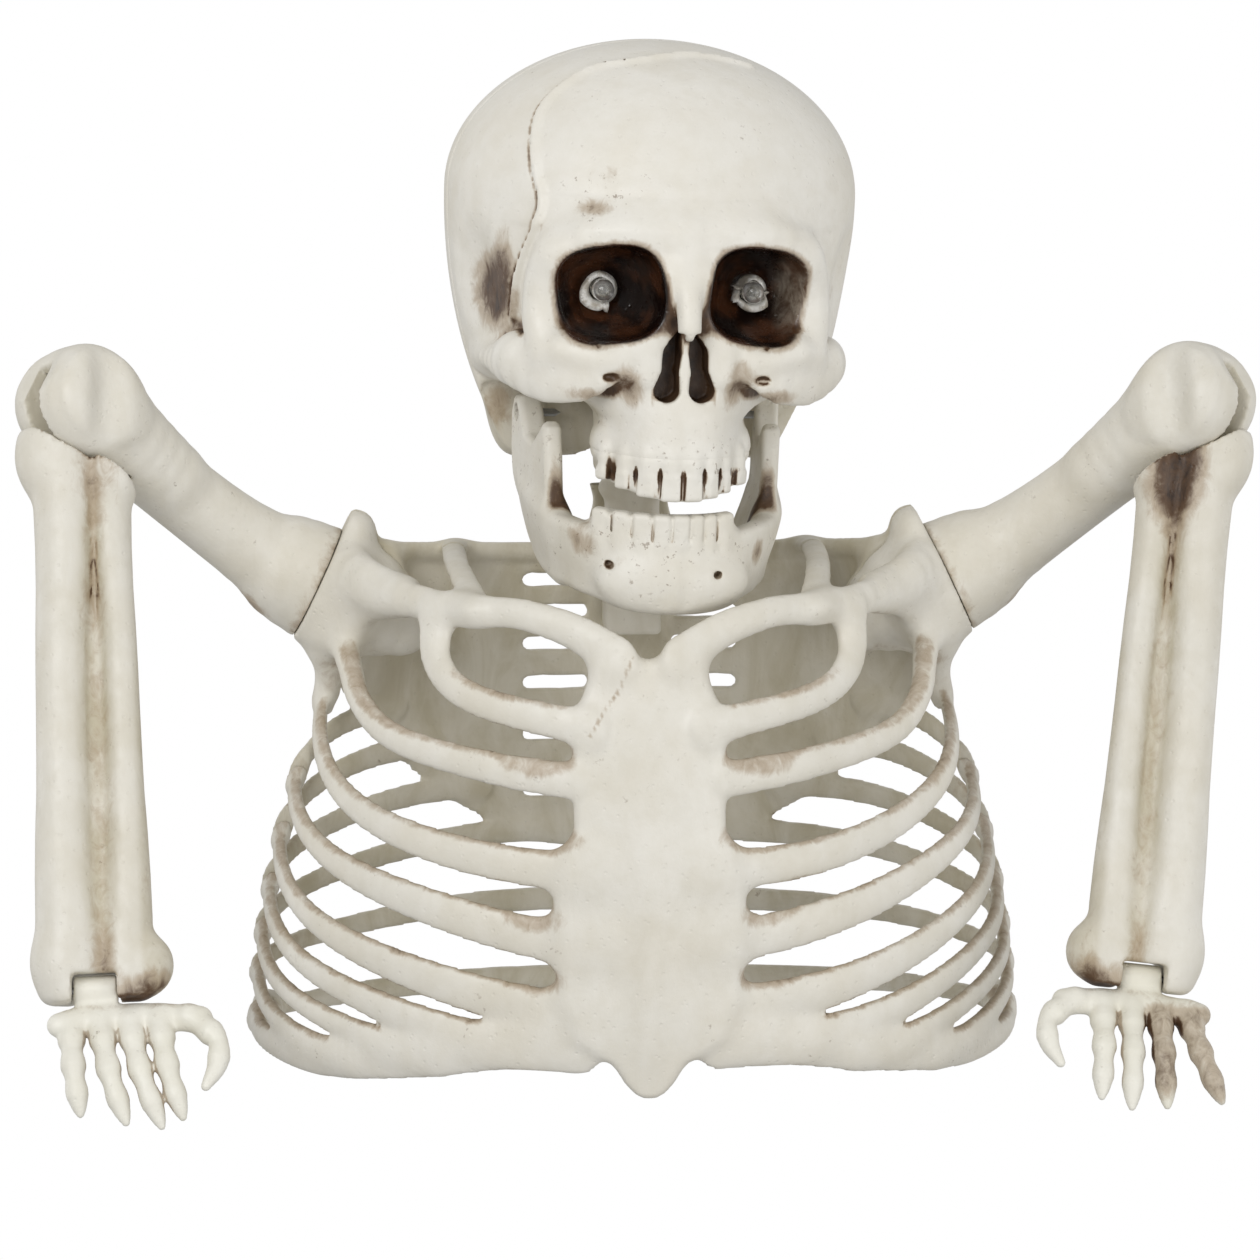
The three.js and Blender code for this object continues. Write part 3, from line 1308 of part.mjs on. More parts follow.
function elbowDrum() {
  const half = ELBOW_WIDTH / 2;
  const round = 4;
  const outline = [
    new THREE.Vector2(0, -half),
    new THREE.Vector2(ELBOW_RADIUS - round, -half),
    new THREE.Vector2(ELBOW_RADIUS, -half + round),
    new THREE.Vector2(ELBOW_RADIUS, half - round),
    new THREE.Vector2(ELBOW_RADIUS - round, half),
    new THREE.Vector2(0, half),
  ];
  const geometry = new THREE.LatheGeometry(outline, 12);
  const turn = new THREE.Quaternion().setFromUnitVectors(vec(0, 1, 0), elbowAxis);
  geometry.applyMatrix4(new THREE.Matrix4().compose(elbowPoint, turn, vec(1, 1, 1)));
  return lathedSolid(geometry);
}

// The slot that the forearm's tongue turns in: a disc, and the sector that its neck sweeps
function elbowSlot() {
  const reach = TONGUE_RADIUS + TURN_GAP;
  const neckSpread = 34;
  const first = radians(ELBOW_FOLDED_ANGLE - neckSpread);
  const last = radians(ELBOW_OPEN_ANGLE + neckSpread);
  const outline = new THREE.Shape();
  outline.moveTo(reach * Math.cos(first), reach * Math.sin(first));
  outline.absarc(0, 0, ELBOW_RADIUS + 8, first, last, false);
  outline.lineTo(reach * Math.cos(last), reach * Math.sin(last));
  outline.absarc(0, 0, reach, last, first + 2 * Math.PI, false);
  const depth = TONGUE_THICKNESS + 2 * TURN_GAP;
  const geometry = new THREE.ExtrudeGeometry(outline, { depth, bevelEnabled: false, curveSegments: 4 });
  geometry.translate(0, 0, -depth / 2);
  const towardsShoulder = shaftWay.clone().negate();
  const side = elbowAxis.clone().cross(towardsShoulder);
  const place = new THREE.Matrix4().makeBasis(towardsShoulder, side, elbowAxis).setPosition(elbowPoint);
  return placed(geometry, place);
}

function humerus(name) {
  const bend = new THREE.QuadraticBezierCurve3(
    vec(1, 0, 0),
    vec(HUMERUS_LENGTH * 0.3, 0, -1),
    elbowPoint,
  );
  const radii = [
    HUMERUS_FLANGE_RADIUS - 1.5,
    HUMERUS_FLANGE_RADIUS - 2,
    HUMERUS_RADIUS + 2.2,
    HUMERUS_RADIUS + 0.8,
    HUMERUS_RADIUS,
    HUMERUS_RADIUS - 0.4,
    HUMERUS_RADIUS,
    HUMERUS_RADIUS + 1,
    ELBOW_RADIUS - 3,
  ];
  const shaft = bar(
    (t) => bend.getPoint(t),
    () => vec(0, 1, 0),
    (t) => [profile(radii, t) * 0.97, profile(radii, t)],
    evenly(8),
    8,
  );
  const spigot = rod(vec(2, 0, 0), vec(-SPIGOT_LENGTH - 1, 0, 0), SPIGOT_RADIUS, SPIGOT_RADIUS, 10);
  const head = rod(
    vec(-SPIGOT_LENGTH, 0, 0),
    vec(-SPIGOT_LENGTH - SPIGOT_HEAD_LENGTH, 0, 0),
    SPIGOT_HEAD_RADIUS,
    SPIGOT_RADIUS,
    10,
  );
  const pinHole = rod(
    elbowPoint.clone().addScaledVector(elbowAxis, -ELBOW_WIDTH),
    elbowPoint.clone().addScaledVector(elbowAxis, ELBOW_WIDTH),
    PIN_RADIUS + SEAT_GAP,
    PIN_RADIUS + SEAT_GAP,
    8,
  );
  const flat = box(vec(-0.5, -60, -60), vec(TURN_GAP, 60, 60)).subtract(
    rod(vec(-3, 0, 0), vec(3, 0, 0), SPIGOT_RADIUS, SPIGOT_RADIUS, 10),
  );
  const solid = cut(joined([shaft, elbowDrum(), spigot, head]), [flat, elbowSlot(), pinHole]);
  return namedMesh(name, solid, "bone");
}

// Forearm frame: origin at the elbow's pin, X along the pin, Z up along the bone

const wideWay = vec(Math.cos(radians(FOREARM_TWIST)), Math.sin(radians(FOREARM_TWIST)), 0);
const thinWay = vec(-wideWay.y, wideWay.x, 0);

function forearm(name) {
  const halfWidths = [20, 17.5, 17.5, 18.5, 19, 19.5, 21, WRIST_HALF_WIDTH, WRIST_HALF_WIDTH - 3];
  const halfDepths = [15, 12.5, 11.5, 11.5, 11.5, 12, 12.5, 13.5, 12];
  const top = -9;
  const bottom = -FOREARM_LENGTH - FOREARM_END;
  const widthScale = FOREARM_HALF_WIDTH / 18.5;
  const depthScale = FOREARM_HALF_DEPTH / 12.5;
  const rings = evenly(8).map((t) => {
    const w = profile(halfWidths, t) * widthScale;
    const h = profile(halfDepths, t) * depthScale;
    const groove = 0.42 * Math.sin(Math.PI * Math.min(1, t * 1.15)) ** 0.5;
    return range(12).map((k) => {
      const angle = (k / 12) * 2 * Math.PI;
      const across = Math.cos(angle);
      const dip = 1 - groove * Math.exp(-((across / 0.3) ** 2));
      return vec(0, 0, mix(top, bottom, t))
        .addScaledVector(wideWay, w * across)
        .addScaledVector(thinWay, h * Math.sin(angle) * dip);
    });
  });
  const knob = ellipsoid(
    wideWay.clone().multiplyScalar(WRIST_HALF_WIDTH - 3).setZ(-FOREARM_LENGTH + 8),
    vec(9, 9, 11),
    8,
    5,
  );
  const drumRoom = rod(
    vec(-ELBOW_WIDTH, 0, 0),
    vec(ELBOW_WIDTH, 0, 0),
    ELBOW_RADIUS + TURN_GAP,
    ELBOW_RADIUS + TURN_GAP,
    16,
  );
  const foldedShaft = vec(0, 0, -1).applyAxisAngle(vec(1, 0, 0), radians(-ELBOW_FOLDED_ANGLE));
  const shaftSide = foldedShaft.clone().cross(vec(1, 0, 0));
  const shaftRoom = placed(
    new THREE.BoxGeometry(2 * ELBOW_WIDTH, 2 * (HUMERUS_RADIUS + 2), 80),
    new THREE.Matrix4()
      .makeBasis(vec(1, 0, 0), shaftSide, foldedShaft)
      .setPosition(foldedShaft.clone().multiplyScalar(40)),
  );
  const half = TONGUE_THICKNESS / 2;
  const tongue = rod(vec(-half, 0, 0), vec(half, 0, 0), TONGUE_RADIUS, TONGUE_RADIUS, 12);
  const neck = box(vec(-half, -8, -ELBOW_RADIUS - 8), vec(half, 8, -5));
  const pinHole = crossPin(20, PIN_RADIUS + SEAT_GAP);
  const body = cut(joined([loft(rings), knob]), [drumRoom, shaftRoom]);
  const solid = cut(joined([body, tongue, neck]), [pinHole, wristSlot(), wristPinHole()]);
  return namedMesh(name, solid, "bone");
}

// Point of the wrist's pin in the forearm frame, and the slot for the hand's tongue
const wristPoint = vec(0, 0, -FOREARM_LENGTH);
const WRIST_TONGUE_RADIUS = 5;

function inWristFrame(geometry) {
  const place = new THREE.Matrix4().makeBasis(wideWay, thinWay, vec(0, 0, 1)).setPosition(wristPoint);
  return placed(geometry, place);
}

function wristSlot() {
  const width = WRIST_TONGUE_WIDTH + 2 * TURN_GAP;
  const height = 2 * (WRIST_TONGUE_RADIUS + TURN_GAP) + FOREARM_END;
  const geometry = new THREE.BoxGeometry(width, 60, height);
  geometry.translate(0, 0, -FOREARM_END / 2);
  return inWristFrame(geometry);
}

function wristPinHole() {
  const radius = WRIST_PIN_RADIUS + SEAT_GAP;
  const geometry = new THREE.CylinderGeometry(radius, radius, 2 * WRIST_PIN_HALF + 2 * SEAT_GAP, 8);
  geometry.applyMatrix4(new THREE.Matrix4().makeRotationZ(Math.PI / 2));
  return inWristFrame(geometry);
}

// Hand frame: origin at the wrist's pin, X towards the thumb, Z up along the forearm

function finger(root, length, spread) {
  const tip = vec(root.x + spread, root.y + length * 0.14, root.z - length);
  const middle = root.clone().lerp(tip, 0.5).add(vec(0, 3, 0));
  const curve = new THREE.QuadraticBezierCurve3(root, middle, tip);
  const radii = [1, 1.12, 0.78, 1.08, 0.74, 0.95, 0.55].map((r) => r * FINGER_RADIUS);
  return bar(
    (t) => curve.getPoint(t),
    () => vec(0, 1, 0),
    (t) => [profile(radii, t) * 0.9, profile(radii, t)],
    evenly(5),
    5,
  );
}

function hand(name) {
  const palmZ = -FOREARM_END - PALM_RADIUS - PALM_GAP;
  const tongue = rod(
    vec(-WRIST_TONGUE_WIDTH / 2, 0, 0),
    vec(WRIST_TONGUE_WIDTH / 2, 0, 0),
    WRIST_TONGUE_RADIUS,
    WRIST_TONGUE_RADIUS,
    10,
  );
  const neck = box(
    vec(-WRIST_TONGUE_WIDTH / 2, -WRIST_TONGUE_THICKNESS / 2, palmZ),
    vec(WRIST_TONGUE_WIDTH / 2, WRIST_TONGUE_THICKNESS / 2, 0),
  );
  const palm = barThrough(
    [
      vec(PALM_OFFSET - PALM_HALF_WIDTH, 2, palmZ - 1),
      vec(PALM_OFFSET, 0, palmZ + 1),
      vec(PALM_OFFSET + PALM_HALF_WIDTH, 2, palmZ - 1),
    ],
    vec(0, 1, 0),
    () => [PALM_RADIUS * 0.8, PALM_RADIUS],
    3,
  );
  const fingers = FINGER_LENGTHS.map((length, i) => {
    const step = (2 * PALM_HALF_WIDTH - 8) / FINGER_LENGTHS.length;
    const x = PALM_OFFSET - PALM_HALF_WIDTH + 4 + i * step;
    return finger(vec(x, 1, palmZ), length, (i - 1.5) * 1.5);
  });
  const thumb = barThrough(
    [
      vec(PALM_OFFSET + PALM_HALF_WIDTH - 4, 2, palmZ),
      vec(PALM_OFFSET + PALM_HALF_WIDTH + 5, 5, palmZ - THUMB_LENGTH * 0.4),
      vec(PALM_OFFSET + PALM_HALF_WIDTH + 2, 9, palmZ - THUMB_LENGTH),
    ],
    vec(0, 1, 0),
    (t) => [mix(3.6, 2.4, t), mix(4, 2.6, t)],
    4,
  );
  const pinHole = crossPin(20, WRIST_PIN_RADIUS + SEAT_GAP);
  return namedMesh(name, cut(joined([tongue, neck, palm, ...fingers, thumb]), [pinHole]), "hand");
}

// A pin along X, through the origin of its joint
const crossPin = (half, radius) => rod(vec(-half, 0, 0), vec(half, 0, 0), radius, radius, 8);

function arm(rest, sideName) {
  const holder = new THREE.Group();
  const reference = vec(-shoulderAxis.z, 0, shoulderAxis.x);
  const bendWay = reference.applyAxisAngle(shoulderAxis, radians(rest.swivel));
  const side = bendWay.clone().cross(shoulderAxis);
  const shoulder = new THREE.Group();
  shoulder.name = "pivot_shoulder_" + sideName;
  shoulder.applyMatrix4(
    new THREE.Matrix4().makeBasis(shoulderAxis, side, bendWay).setPosition(shoulderCentre),
  );
  const elbow = new THREE.Group();
  elbow.name = "pivot_elbow_" + sideName;
  elbow.applyMatrix4(elbowFrame(rest.elbow));
  const wrist = new THREE.Group();
  wrist.name = "pivot_wrist_" + sideName;
  wrist.applyMatrix4(
    new THREE.Matrix4().makeBasis(wideWay, thinWay, vec(0, 0, 1)).setPosition(wristPoint),
  );
  wrist.rotateX(radians(rest.wrist));
  const elbowPin = crossPin(ELBOW_WIDTH / 2 - 2, PIN_RADIUS);
  const wristPin = crossPin(WRIST_PIN_HALF, WRIST_PIN_RADIUS);
  shoulder.add(humerus("humerus_" + sideName), elbow);
  elbow.add(forearm("forearm_" + sideName), namedMesh("elbow_pin_" + sideName, elbowPin, "steel"), wrist);
  wrist.add(hand("hand_" + sideName), namedMesh("wrist_pin_" + sideName, wristPin, "steel"));
  holder.add(shoulder);
  holder.scale.setX(rest.side);
  return holder;
}

// Head: everything that turns on the neck, with the jaw on its own hinge

function jawPins() {
  return [-1, 1].map((side, i) => {
    const { head, tip } = jawPinLine();
    const line = [head, tip].map((p) => vec(p.x * side, p.y, p.z));
    return screw(["jaw_screw_left", "jaw_screw_right"][i], line[0], line[1]);
  });
}

function headGroup() {
  const jaw = new THREE.Group();
  jaw.name = "pivot_jaw";
  jaw.position.set(0, JAW_HINGE_Y, JAW_HINGE_Z);
  jaw.rotation.x = radians(JAW_REST_OPEN);
  const jawMesh = mandible();
  jawMesh.position.set(0, -JAW_HINGE_Y, -JAW_HINGE_Z);
  jaw.add(jawMesh);
  const inner = new THREE.Group();
  inner.position.copy(headPivot).negate();
  const door = doorScrewLine();
  inner.add(
    ...skullHalves(),
    jaw,
    ...jawPins(),
    ...SKULL_SCREWS.map((one) => {
      const line = skullScrewLine(one);
      return screw(one.name, line.head, line.tip);
    }),
    ledMesh(-1, "led_left"),
    ledMesh(1, "led_right"),
    glueCollar(-1, "glue_collar_left"),
    glueCollar(1, "glue_collar_right"),
    ledLead(-1, "led_lead_left"),
    ledLead(1, "led_lead_right"),
    ...batteryBay(),
    batteryDoor(),
    screw("door_screw", door.head, door.tip),
    switchSlider(),
  );
  const head = new THREE.Group();
  head.name = "pivot_neck";
  head.position.copy(headPivot);
  head.rotation.set(0, radians(HEAD_LEAN), radians(HEAD_YAW), "ZYX");
  head.add(inner);
  return head;
}

function torsoGroup() {
  const group = new THREE.Group();
  const headScrew = headScrewLine();
  const shellScrews = [-1, 1].flatMap((side) =>
    SHELL_SCREWS.map(({ name, head, tip }) =>
      screw(
        name + (side < 0 ? "_left" : "_right"),
        vec(head.x * side, head.y, head.z),
        vec(tip.x * side, tip.y, tip.z),
      ),
    ),
  );
  group.add(
    chestShell(),
    backShell(),
    neckPost(),
    headWasher(),
    screw("head_screw", headScrew.head, headScrew.tip),
    ...NECK_BASE_SCREWS.map(({ name, head, tip }) => screw(name, head, tip)),
    ...shellScrews,
  );
  return group;
}

const bust = new THREE.Group();
bust.name = "skeleton_bust";
const body = new THREE.Group();
body.position.y = DEPTH_SHIFT;
body.add(torsoGroup(), headGroup(), arm(ARM_REST.right, "right"), arm(ARM_REST.left, "left"));
bust.add(body);

export default bust;
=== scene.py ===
"""The skeleton bust as it looks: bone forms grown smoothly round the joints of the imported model.

Lengths are in millimetres until a mesh is made. The torso, the head and each arm are drawn in their own
frames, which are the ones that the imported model's joints stand in."""

import functools
import json
import math
from types import SimpleNamespace

import bpy
import numpy as np
from mathutils import Matrix, Vector


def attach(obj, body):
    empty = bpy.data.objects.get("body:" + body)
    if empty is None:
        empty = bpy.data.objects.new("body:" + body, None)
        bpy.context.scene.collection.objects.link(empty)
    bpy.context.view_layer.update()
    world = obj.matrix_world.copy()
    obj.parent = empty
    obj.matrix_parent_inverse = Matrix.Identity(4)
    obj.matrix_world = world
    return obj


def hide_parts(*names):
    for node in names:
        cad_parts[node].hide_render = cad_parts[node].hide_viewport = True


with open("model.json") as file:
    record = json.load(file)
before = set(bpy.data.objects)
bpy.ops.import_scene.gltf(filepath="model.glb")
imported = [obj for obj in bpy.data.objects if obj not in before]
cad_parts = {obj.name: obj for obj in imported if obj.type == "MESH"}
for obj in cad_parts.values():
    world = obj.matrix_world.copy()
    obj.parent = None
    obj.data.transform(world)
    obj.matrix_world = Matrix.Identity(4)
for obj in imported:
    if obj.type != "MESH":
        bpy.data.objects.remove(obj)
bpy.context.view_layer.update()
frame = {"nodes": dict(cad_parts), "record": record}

MILLIMETRE = 0.001  # in metres
FAR = 40.0  # distance that stands for nothing near
SEE_ROUND = 12.0  # how far round a form its distances are worked out
SEAT_GAP = 0.3  # between parts that rest on each other
TURN_GAP = 0.6  # between parts that turn in each other
CLEARANCE = 0.35  # kept free round what sweeps past
CREASE_REACH, PIT_REACH = 3.0, 8.0  # how far out a point's surroundings are felt for cracks and for pits

# Torso
DEPTH_SHIFT = 42.0
RIM_HALF_WIDTH = 150.0
TOP_HALF_WIDTH = 98.0
CAGE_TOP = 187.0
FRONT_DEPTH, FRONT_TOP_DEPTH = 116.0, 97.0
BACK_DEPTH, BACK_TOP_DEPTH = 40.0, 31.0
FULLEST = 85.0
RIM_TUCK = 4.0  # how much less deep the cage is at its rim than where it is fullest
RIB_THICKNESS = 5.2
KNOB_LENGTH = 7.5
KNOB_HEIGHT, KNOB_THICKNESS = 2.4, 1.4  # what the knob at a rib's side end adds to its halves
PLATE_THICKNESS = 3.2
SLOT_HEIGHTS = (172, 159, 146, 130, 109, 86)
VERTEBRA_PITCH = 17.0
SPINE_DEPTH = 6.0
NECK_SCREWS = {"neck_base_screw_lower": 162.0, "neck_base_screw_upper": 178.0}  # their heights
NECK_SCREW_HEAD, NECK_SCREW_TIP = 1.5, -18.3  # from the cage's outside
SHOULDER = np.array([121.0, 0.0, 177.0])
SHOULDER_TILT = 25.8
SPIGOT_RADIUS = 7.0
SPIGOT_HEAD_RADIUS = 10.0
SPIGOT_LENGTH = 14.0
SPIGOT_HEAD_LENGTH = 4.5

# Arms
HUMERUS_LENGTH = 121.0
HUMERUS_BEND = 25.0
ELBOW_RADIUS = 19.0
ELBOW_WIDTH = 32.0
TONGUE_THICKNESS = 8.0
TONGUE_RADIUS = 14.5
ELBOW_FOLDED, ELBOW_OPEN = 50.0, 160.0
WRIST_TURN = 35.0
PAST_LIMIT = 0.5  # degrees past a limit that still have room
FOREARM_LENGTH = 216.0
FOREARM_TWIST = -52.0
PIN_RADIUS = 2.4
WRIST_PIN_RADIUS = 1.2
ARM_REST = {
    "right": {
        "side": 1, "swivel": 55.4, "elbow": 54.7, "wrist": 22.0,
        "leans": (-12, -2.5, 0, 0.5), "shift": -3, "stain": 1.3,
    },
    "left": {
        "side": -1, "swivel": 53.4, "elbow": 61.3, "wrist": 12.0,
        "leans": (3.5, 9, 11, 8), "shift": 6, "stain": 0.45,
    },
}

# Head
TEETH_EDGE = 222.4
NECK = np.array([0.0, 13.0, 236.0])
POST_TOP = 242.9
POST_PIN_RADIUS = 6.5
HEAD_YAW, HEAD_LEAN = 6.5, 2.0
BASE_LIP = 226.5
SEAM_Y = -12.0
CASE_HALF_WIDTH, CASE_HALF_DEPTH = 77.0, 80.0
CASE_MIDDLE_Y = -8.0
ORBIT = np.array([27.5, -93.0, 296.0])
ORBIT_RADII = (19.2, 27.0, 17.0)
HINGE = np.array([0.0, -20.0, 244.0])
JAW_OPEN = 6.5
BAY_Z = 312.0
BAY_FACE_Y = 66.0
LED_TIP_Y = -80.0
LED_LENGTH = 15.0
LED_RADIUS = 4.0


def mix(a, b, t):
    return a + (b - a) * t


def smooth(t):
    t = np.clip(t, 0, 1)
    return t * t * (3 - 2 * t)


def unit(v):
    v = np.asarray(v, float)
    return v / np.linalg.norm(v)


def turned(axis, degrees):
    """The matrix of a turn about an axis"""
    return np.array(Matrix.Rotation(math.radians(degrees), 3, Vector([float(v) for v in axis])))


# Distance fields


def soft_least(a, b, blend):
    """The lesser of two distances, rounded where they are closer than blend"""
    if blend <= 0:
        return np.minimum(a, b)
    near = np.maximum(blend - np.abs(a - b), 0) / blend
    return np.minimum(a, b) - near * near * (blend / 4)


def soft_most(a, b, blend):
    """The greater of two distances, rounded where they are closer than blend"""
    return -soft_least(-a, -b, blend)


class Field:
    """Distances to a form's skin on a grid of points, negative inside it"""

    def __init__(self, low, high, step):
        self.low = np.array(low, float)
        self.step = step
        count = np.ceil((np.array(high, float) - self.low) / step).astype(int) + 1
        self.values = np.full(tuple(count), FAR, np.float32)

    def window(self, low, high):
        """The part of the grid inside a box, and its coordinates"""
        slices, axes = [], []
        for axis in range(3):
            size = self.values.shape[axis]
            first = int(np.clip((low[axis] - self.low[axis]) / self.step, 0, size))
            last = int(np.clip((high[axis] - self.low[axis]) / self.step + 2, first, size))
            slices.append(slice(first, last))
            axes.append((self.low[axis] + self.step * np.arange(first, last)).astype(np.float32))
        return tuple(slices), np.meshgrid(*axes, indexing="ij", sparse=True)

    def everywhere(self):
        size = np.array(self.values.shape)
        return self.window(self.low, self.low + self.step * size)[1]

    def join(self, shape, blend, sign):
        low, high, distance = shape
        part, (x, y, z) = self.window(np.array(low) - SEE_ROUND, np.array(high) + SEE_ROUND)
        if 0 not in self.values[part].shape:
            self.values[part] = sign * soft_least(sign * self.values[part], distance(x, y, z), blend)

    def add(self, shape, blend=0.0):
        self.join(shape, blend, 1)

    def cut(self, shape, blend=0.0):
        self.join(shape, blend, -1)

    def merge(self, distance, blend=0.0):
        """Adds a form given by its distances all over the grid"""
        self.values = soft_least(self.values, distance.astype(np.float32), blend)

    def keep(self, distance, blend=0.0):
        """Keeps only what is inside a form given by its distances all over the grid"""
        self.values = soft_most(self.values, distance, blend)

    def sample(self, points):
        """Distances at any points, between those of the grid"""
        at = (points - self.low) / self.step
        limit = np.array(self.values.shape) - 2
        cell = np.clip(np.floor(at).astype(int), 0, limit)
        share = np.clip(at - cell, 0, 1)
        total = np.zeros(len(points))
        for corner in range(8):
            offset = np.array([corner & 1, corner >> 1 & 1, corner >> 2])
            weight = np.prod(np.where(offset, share, 1 - share), axis=1)
            i, j, k = (cell + offset).T
            total += weight * self.values[i, j, k]
        return total


def evened(implicit, step):
    """Any implicit form's values as near distances: divided by how fast they change"""
    values = implicit.astype(np.float32)
    steepness = np.sqrt(sum(slope * slope for slope in np.gradient(values, step)))
    return values / np.maximum(steepness, 1e-3)


def oval(parts, radii):
    """Near distances to an oval, from the parts of each point's way from its centre"""
    k0 = np.sqrt(sum((p / r) ** 2 for p, r in zip(parts, radii)))
    k1 = np.sqrt(sum((p / r**2) ** 2 for p, r in zip(parts, radii)))
    return k0 * (k0 - 1) / np.maximum(k1, 1e-6)


def rounded(rounding, *parts):
    """Distances to a form with rounded edges, from how far each point is past each pair of its faces"""
    parts = [part + rounding for part in parts]
    outer = functools.reduce(np.hypot, [np.maximum(part, 0) for part in parts])
    return outer + np.minimum(functools.reduce(np.maximum, parts), 0) - rounding


def along_axes(parts, axes):
    """The parts of a way along given axes"""
    return tuple(sum(axes[i, k] * parts[i] for i in range(3)) for k in range(3))


# Forms: each is its lowest and highest corner, and a function that gives its distances


def ellipsoid(centre, radii, axes=None):
    centre, radii = np.array(centre, float), np.array(radii, float)
    reach = radii if axes is None else np.full(3, radii.max())

    def distance(x, y, z):
        parts = (x - centre[0], y - centre[1], z - centre[2])
        return oval(parts if axes is None else along_axes(parts, axes), radii)

    return centre - reach, centre + reach, distance


def along_curve(points, count):
    """Points spread along a smooth curve through the given ones"""
    given = np.array(points, float)
    ends = np.vstack([2 * given[0] - given[1], given, 2 * given[-1] - given[-2]])
    at = np.linspace(0, len(given) - 1, count)
    i = np.minimum(at.astype(int), len(given) - 2)
    t = (at - i)[:, None]
    p0, p1, p2, p3 = (ends[i + k] for k in range(4))
    bend = (2 * p0 - 5 * p1 + 4 * p2 - p3) * t**2 + (3 * p1 - p0 - 3 * p2 + p3) * t**3
    return 0.5 * (2 * p1 + (p2 - p0) * t + bend)


def spread(values, count):
    """Values at even steps along a list"""
    return np.interp(np.linspace(0, len(values) - 1, count), np.arange(len(values)), values)


def strand(points, radii, count=10, across=None, halves=None):
    """A bar along a curve: round, or oval with half thicknesses along the way across"""
    path = along_curve(points, count) if len(points) > 2 else spread_points(points, count)
    size = spread(radii, count)
    thin = size if halves is None else spread(halves, count)
    way = None if across is None else unit(across)

    def distance(x, y, z):
        shape = np.broadcast_shapes(x.shape, y.shape, z.shape)
        best = np.full(shape, FAR, np.float32)
        for i in range(count - 1):
            a, step = path[i], path[i + 1] - path[i]
            px, py, pz = x - a[0], y - a[1], z - a[2]
            t = np.clip((px * step[0] + py * step[1] + pz * step[2]) / max(step @ step, 1e-9), 0, 1)
            qx, qy, qz = px - t * step[0], py - t * step[1], pz - t * step[2]
            square = qx * qx + qy * qy + qz * qz
            radius = mix(size[i], size[i + 1], t)
            if way is None:
                best = np.minimum(best, np.sqrt(square) - radius)
                continue
            half = mix(thin[i], thin[i + 1], t)
            u = (qx * way[0] + qy * way[1] + qz * way[2]) ** 2
            v = np.maximum(square - u, 0)
            k0 = np.sqrt(u / half**2 + v / radius**2)
            k1 = np.sqrt(u / half**4 + v / radius**4)
            best = np.minimum(best, k0 * (k0 - 1) / np.maximum(k1, 1e-6))
        return best

    reach = max(size.max(), thin.max())
    return path.min(axis=0) - reach, path.max(axis=0) + reach, distance


def spread_points(points, count):
    ends = np.array(points, float)
    return mix(ends[0], ends[1], np.linspace(0, 1, count)[:, None])


def rod(start, end, radius, rounding=0.0):
    a, b = np.array(start, float), np.array(end, float)
    middle, half, way = (a + b) / 2, np.linalg.norm(b - a) / 2, unit(b - a)

    def distance(x, y, z):
        px, py, pz = x - middle[0], y - middle[1], z - middle[2]
        along = px * way[0] + py * way[1] + pz * way[2]
        out = np.sqrt(np.maximum(px * px + py * py + pz * pz - along * along, 0))
        return rounded(rounding, out - radius, np.abs(along) - half)

    reach = radius + half
    return middle - reach, middle + reach, distance


def block(low, high, rounding=0.0, axes=None, origin=(0, 0, 0)):
    """A box with rounded edges, upright or along given axes through an origin"""
    low, high = np.array(low, float), np.array(high, float)
    centre, half = (low + high) / 2, (high - low) / 2
    middle = (centre if axes is None else axes @ centre) + np.array(origin, float)
    reach = half if axes is None else np.linalg.norm(half)

    def distance(x, y, z):
        parts = (x - middle[0], y - middle[1], z - middle[2])
        if axes is not None:
            parts = along_axes(parts, axes)
        return rounded(rounding, *(np.abs(part) - size for part, size in zip(parts, half)))

    return middle - reach, middle + reach, distance


def from_segment(u, v, start, end):
    """How far points of a plane are from part of a line, and where along it they are nearest"""
    start, step = np.array(start, float), np.array(end, float) - start
    u, v = u - start[0], v - start[1]
    t = np.clip((u * step[0] + v * step[1]) / (step @ step), 0, 1)
    return np.hypot(u - t * step[0], v - t * step[1]), t


def both_sides(shape):
    """The same form on both sides of the middle plane; it is given on the +X side"""
    low, high, distance = shape
    reach = max(abs(low[0]), abs(high[0]))
    return (-reach, *low[1:]), (reach, *high[1:]), lambda x, y, z: distance(np.abs(x), y, z)


def screw_hole(head, tip, radius=1.8, head_radius=3.3, head_height=2.3):
    """Clearance for a screw's shank, and the counterbore for its head"""
    head, tip = np.array(head, float), np.array(tip, float)
    way = unit(tip - head)
    shank = rod(head - way * 6, tip + way * SEAT_GAP, radius)
    bore = rod(head - way * 30, head + way * head_height, head_radius)
    low = np.minimum(shank[0], bore[0])
    high = np.maximum(shank[1], bore[1])
    return low, high, lambda x, y, z: np.minimum(shank[2](x, y, z), bore[2](x, y, z))


# Meshes from fields


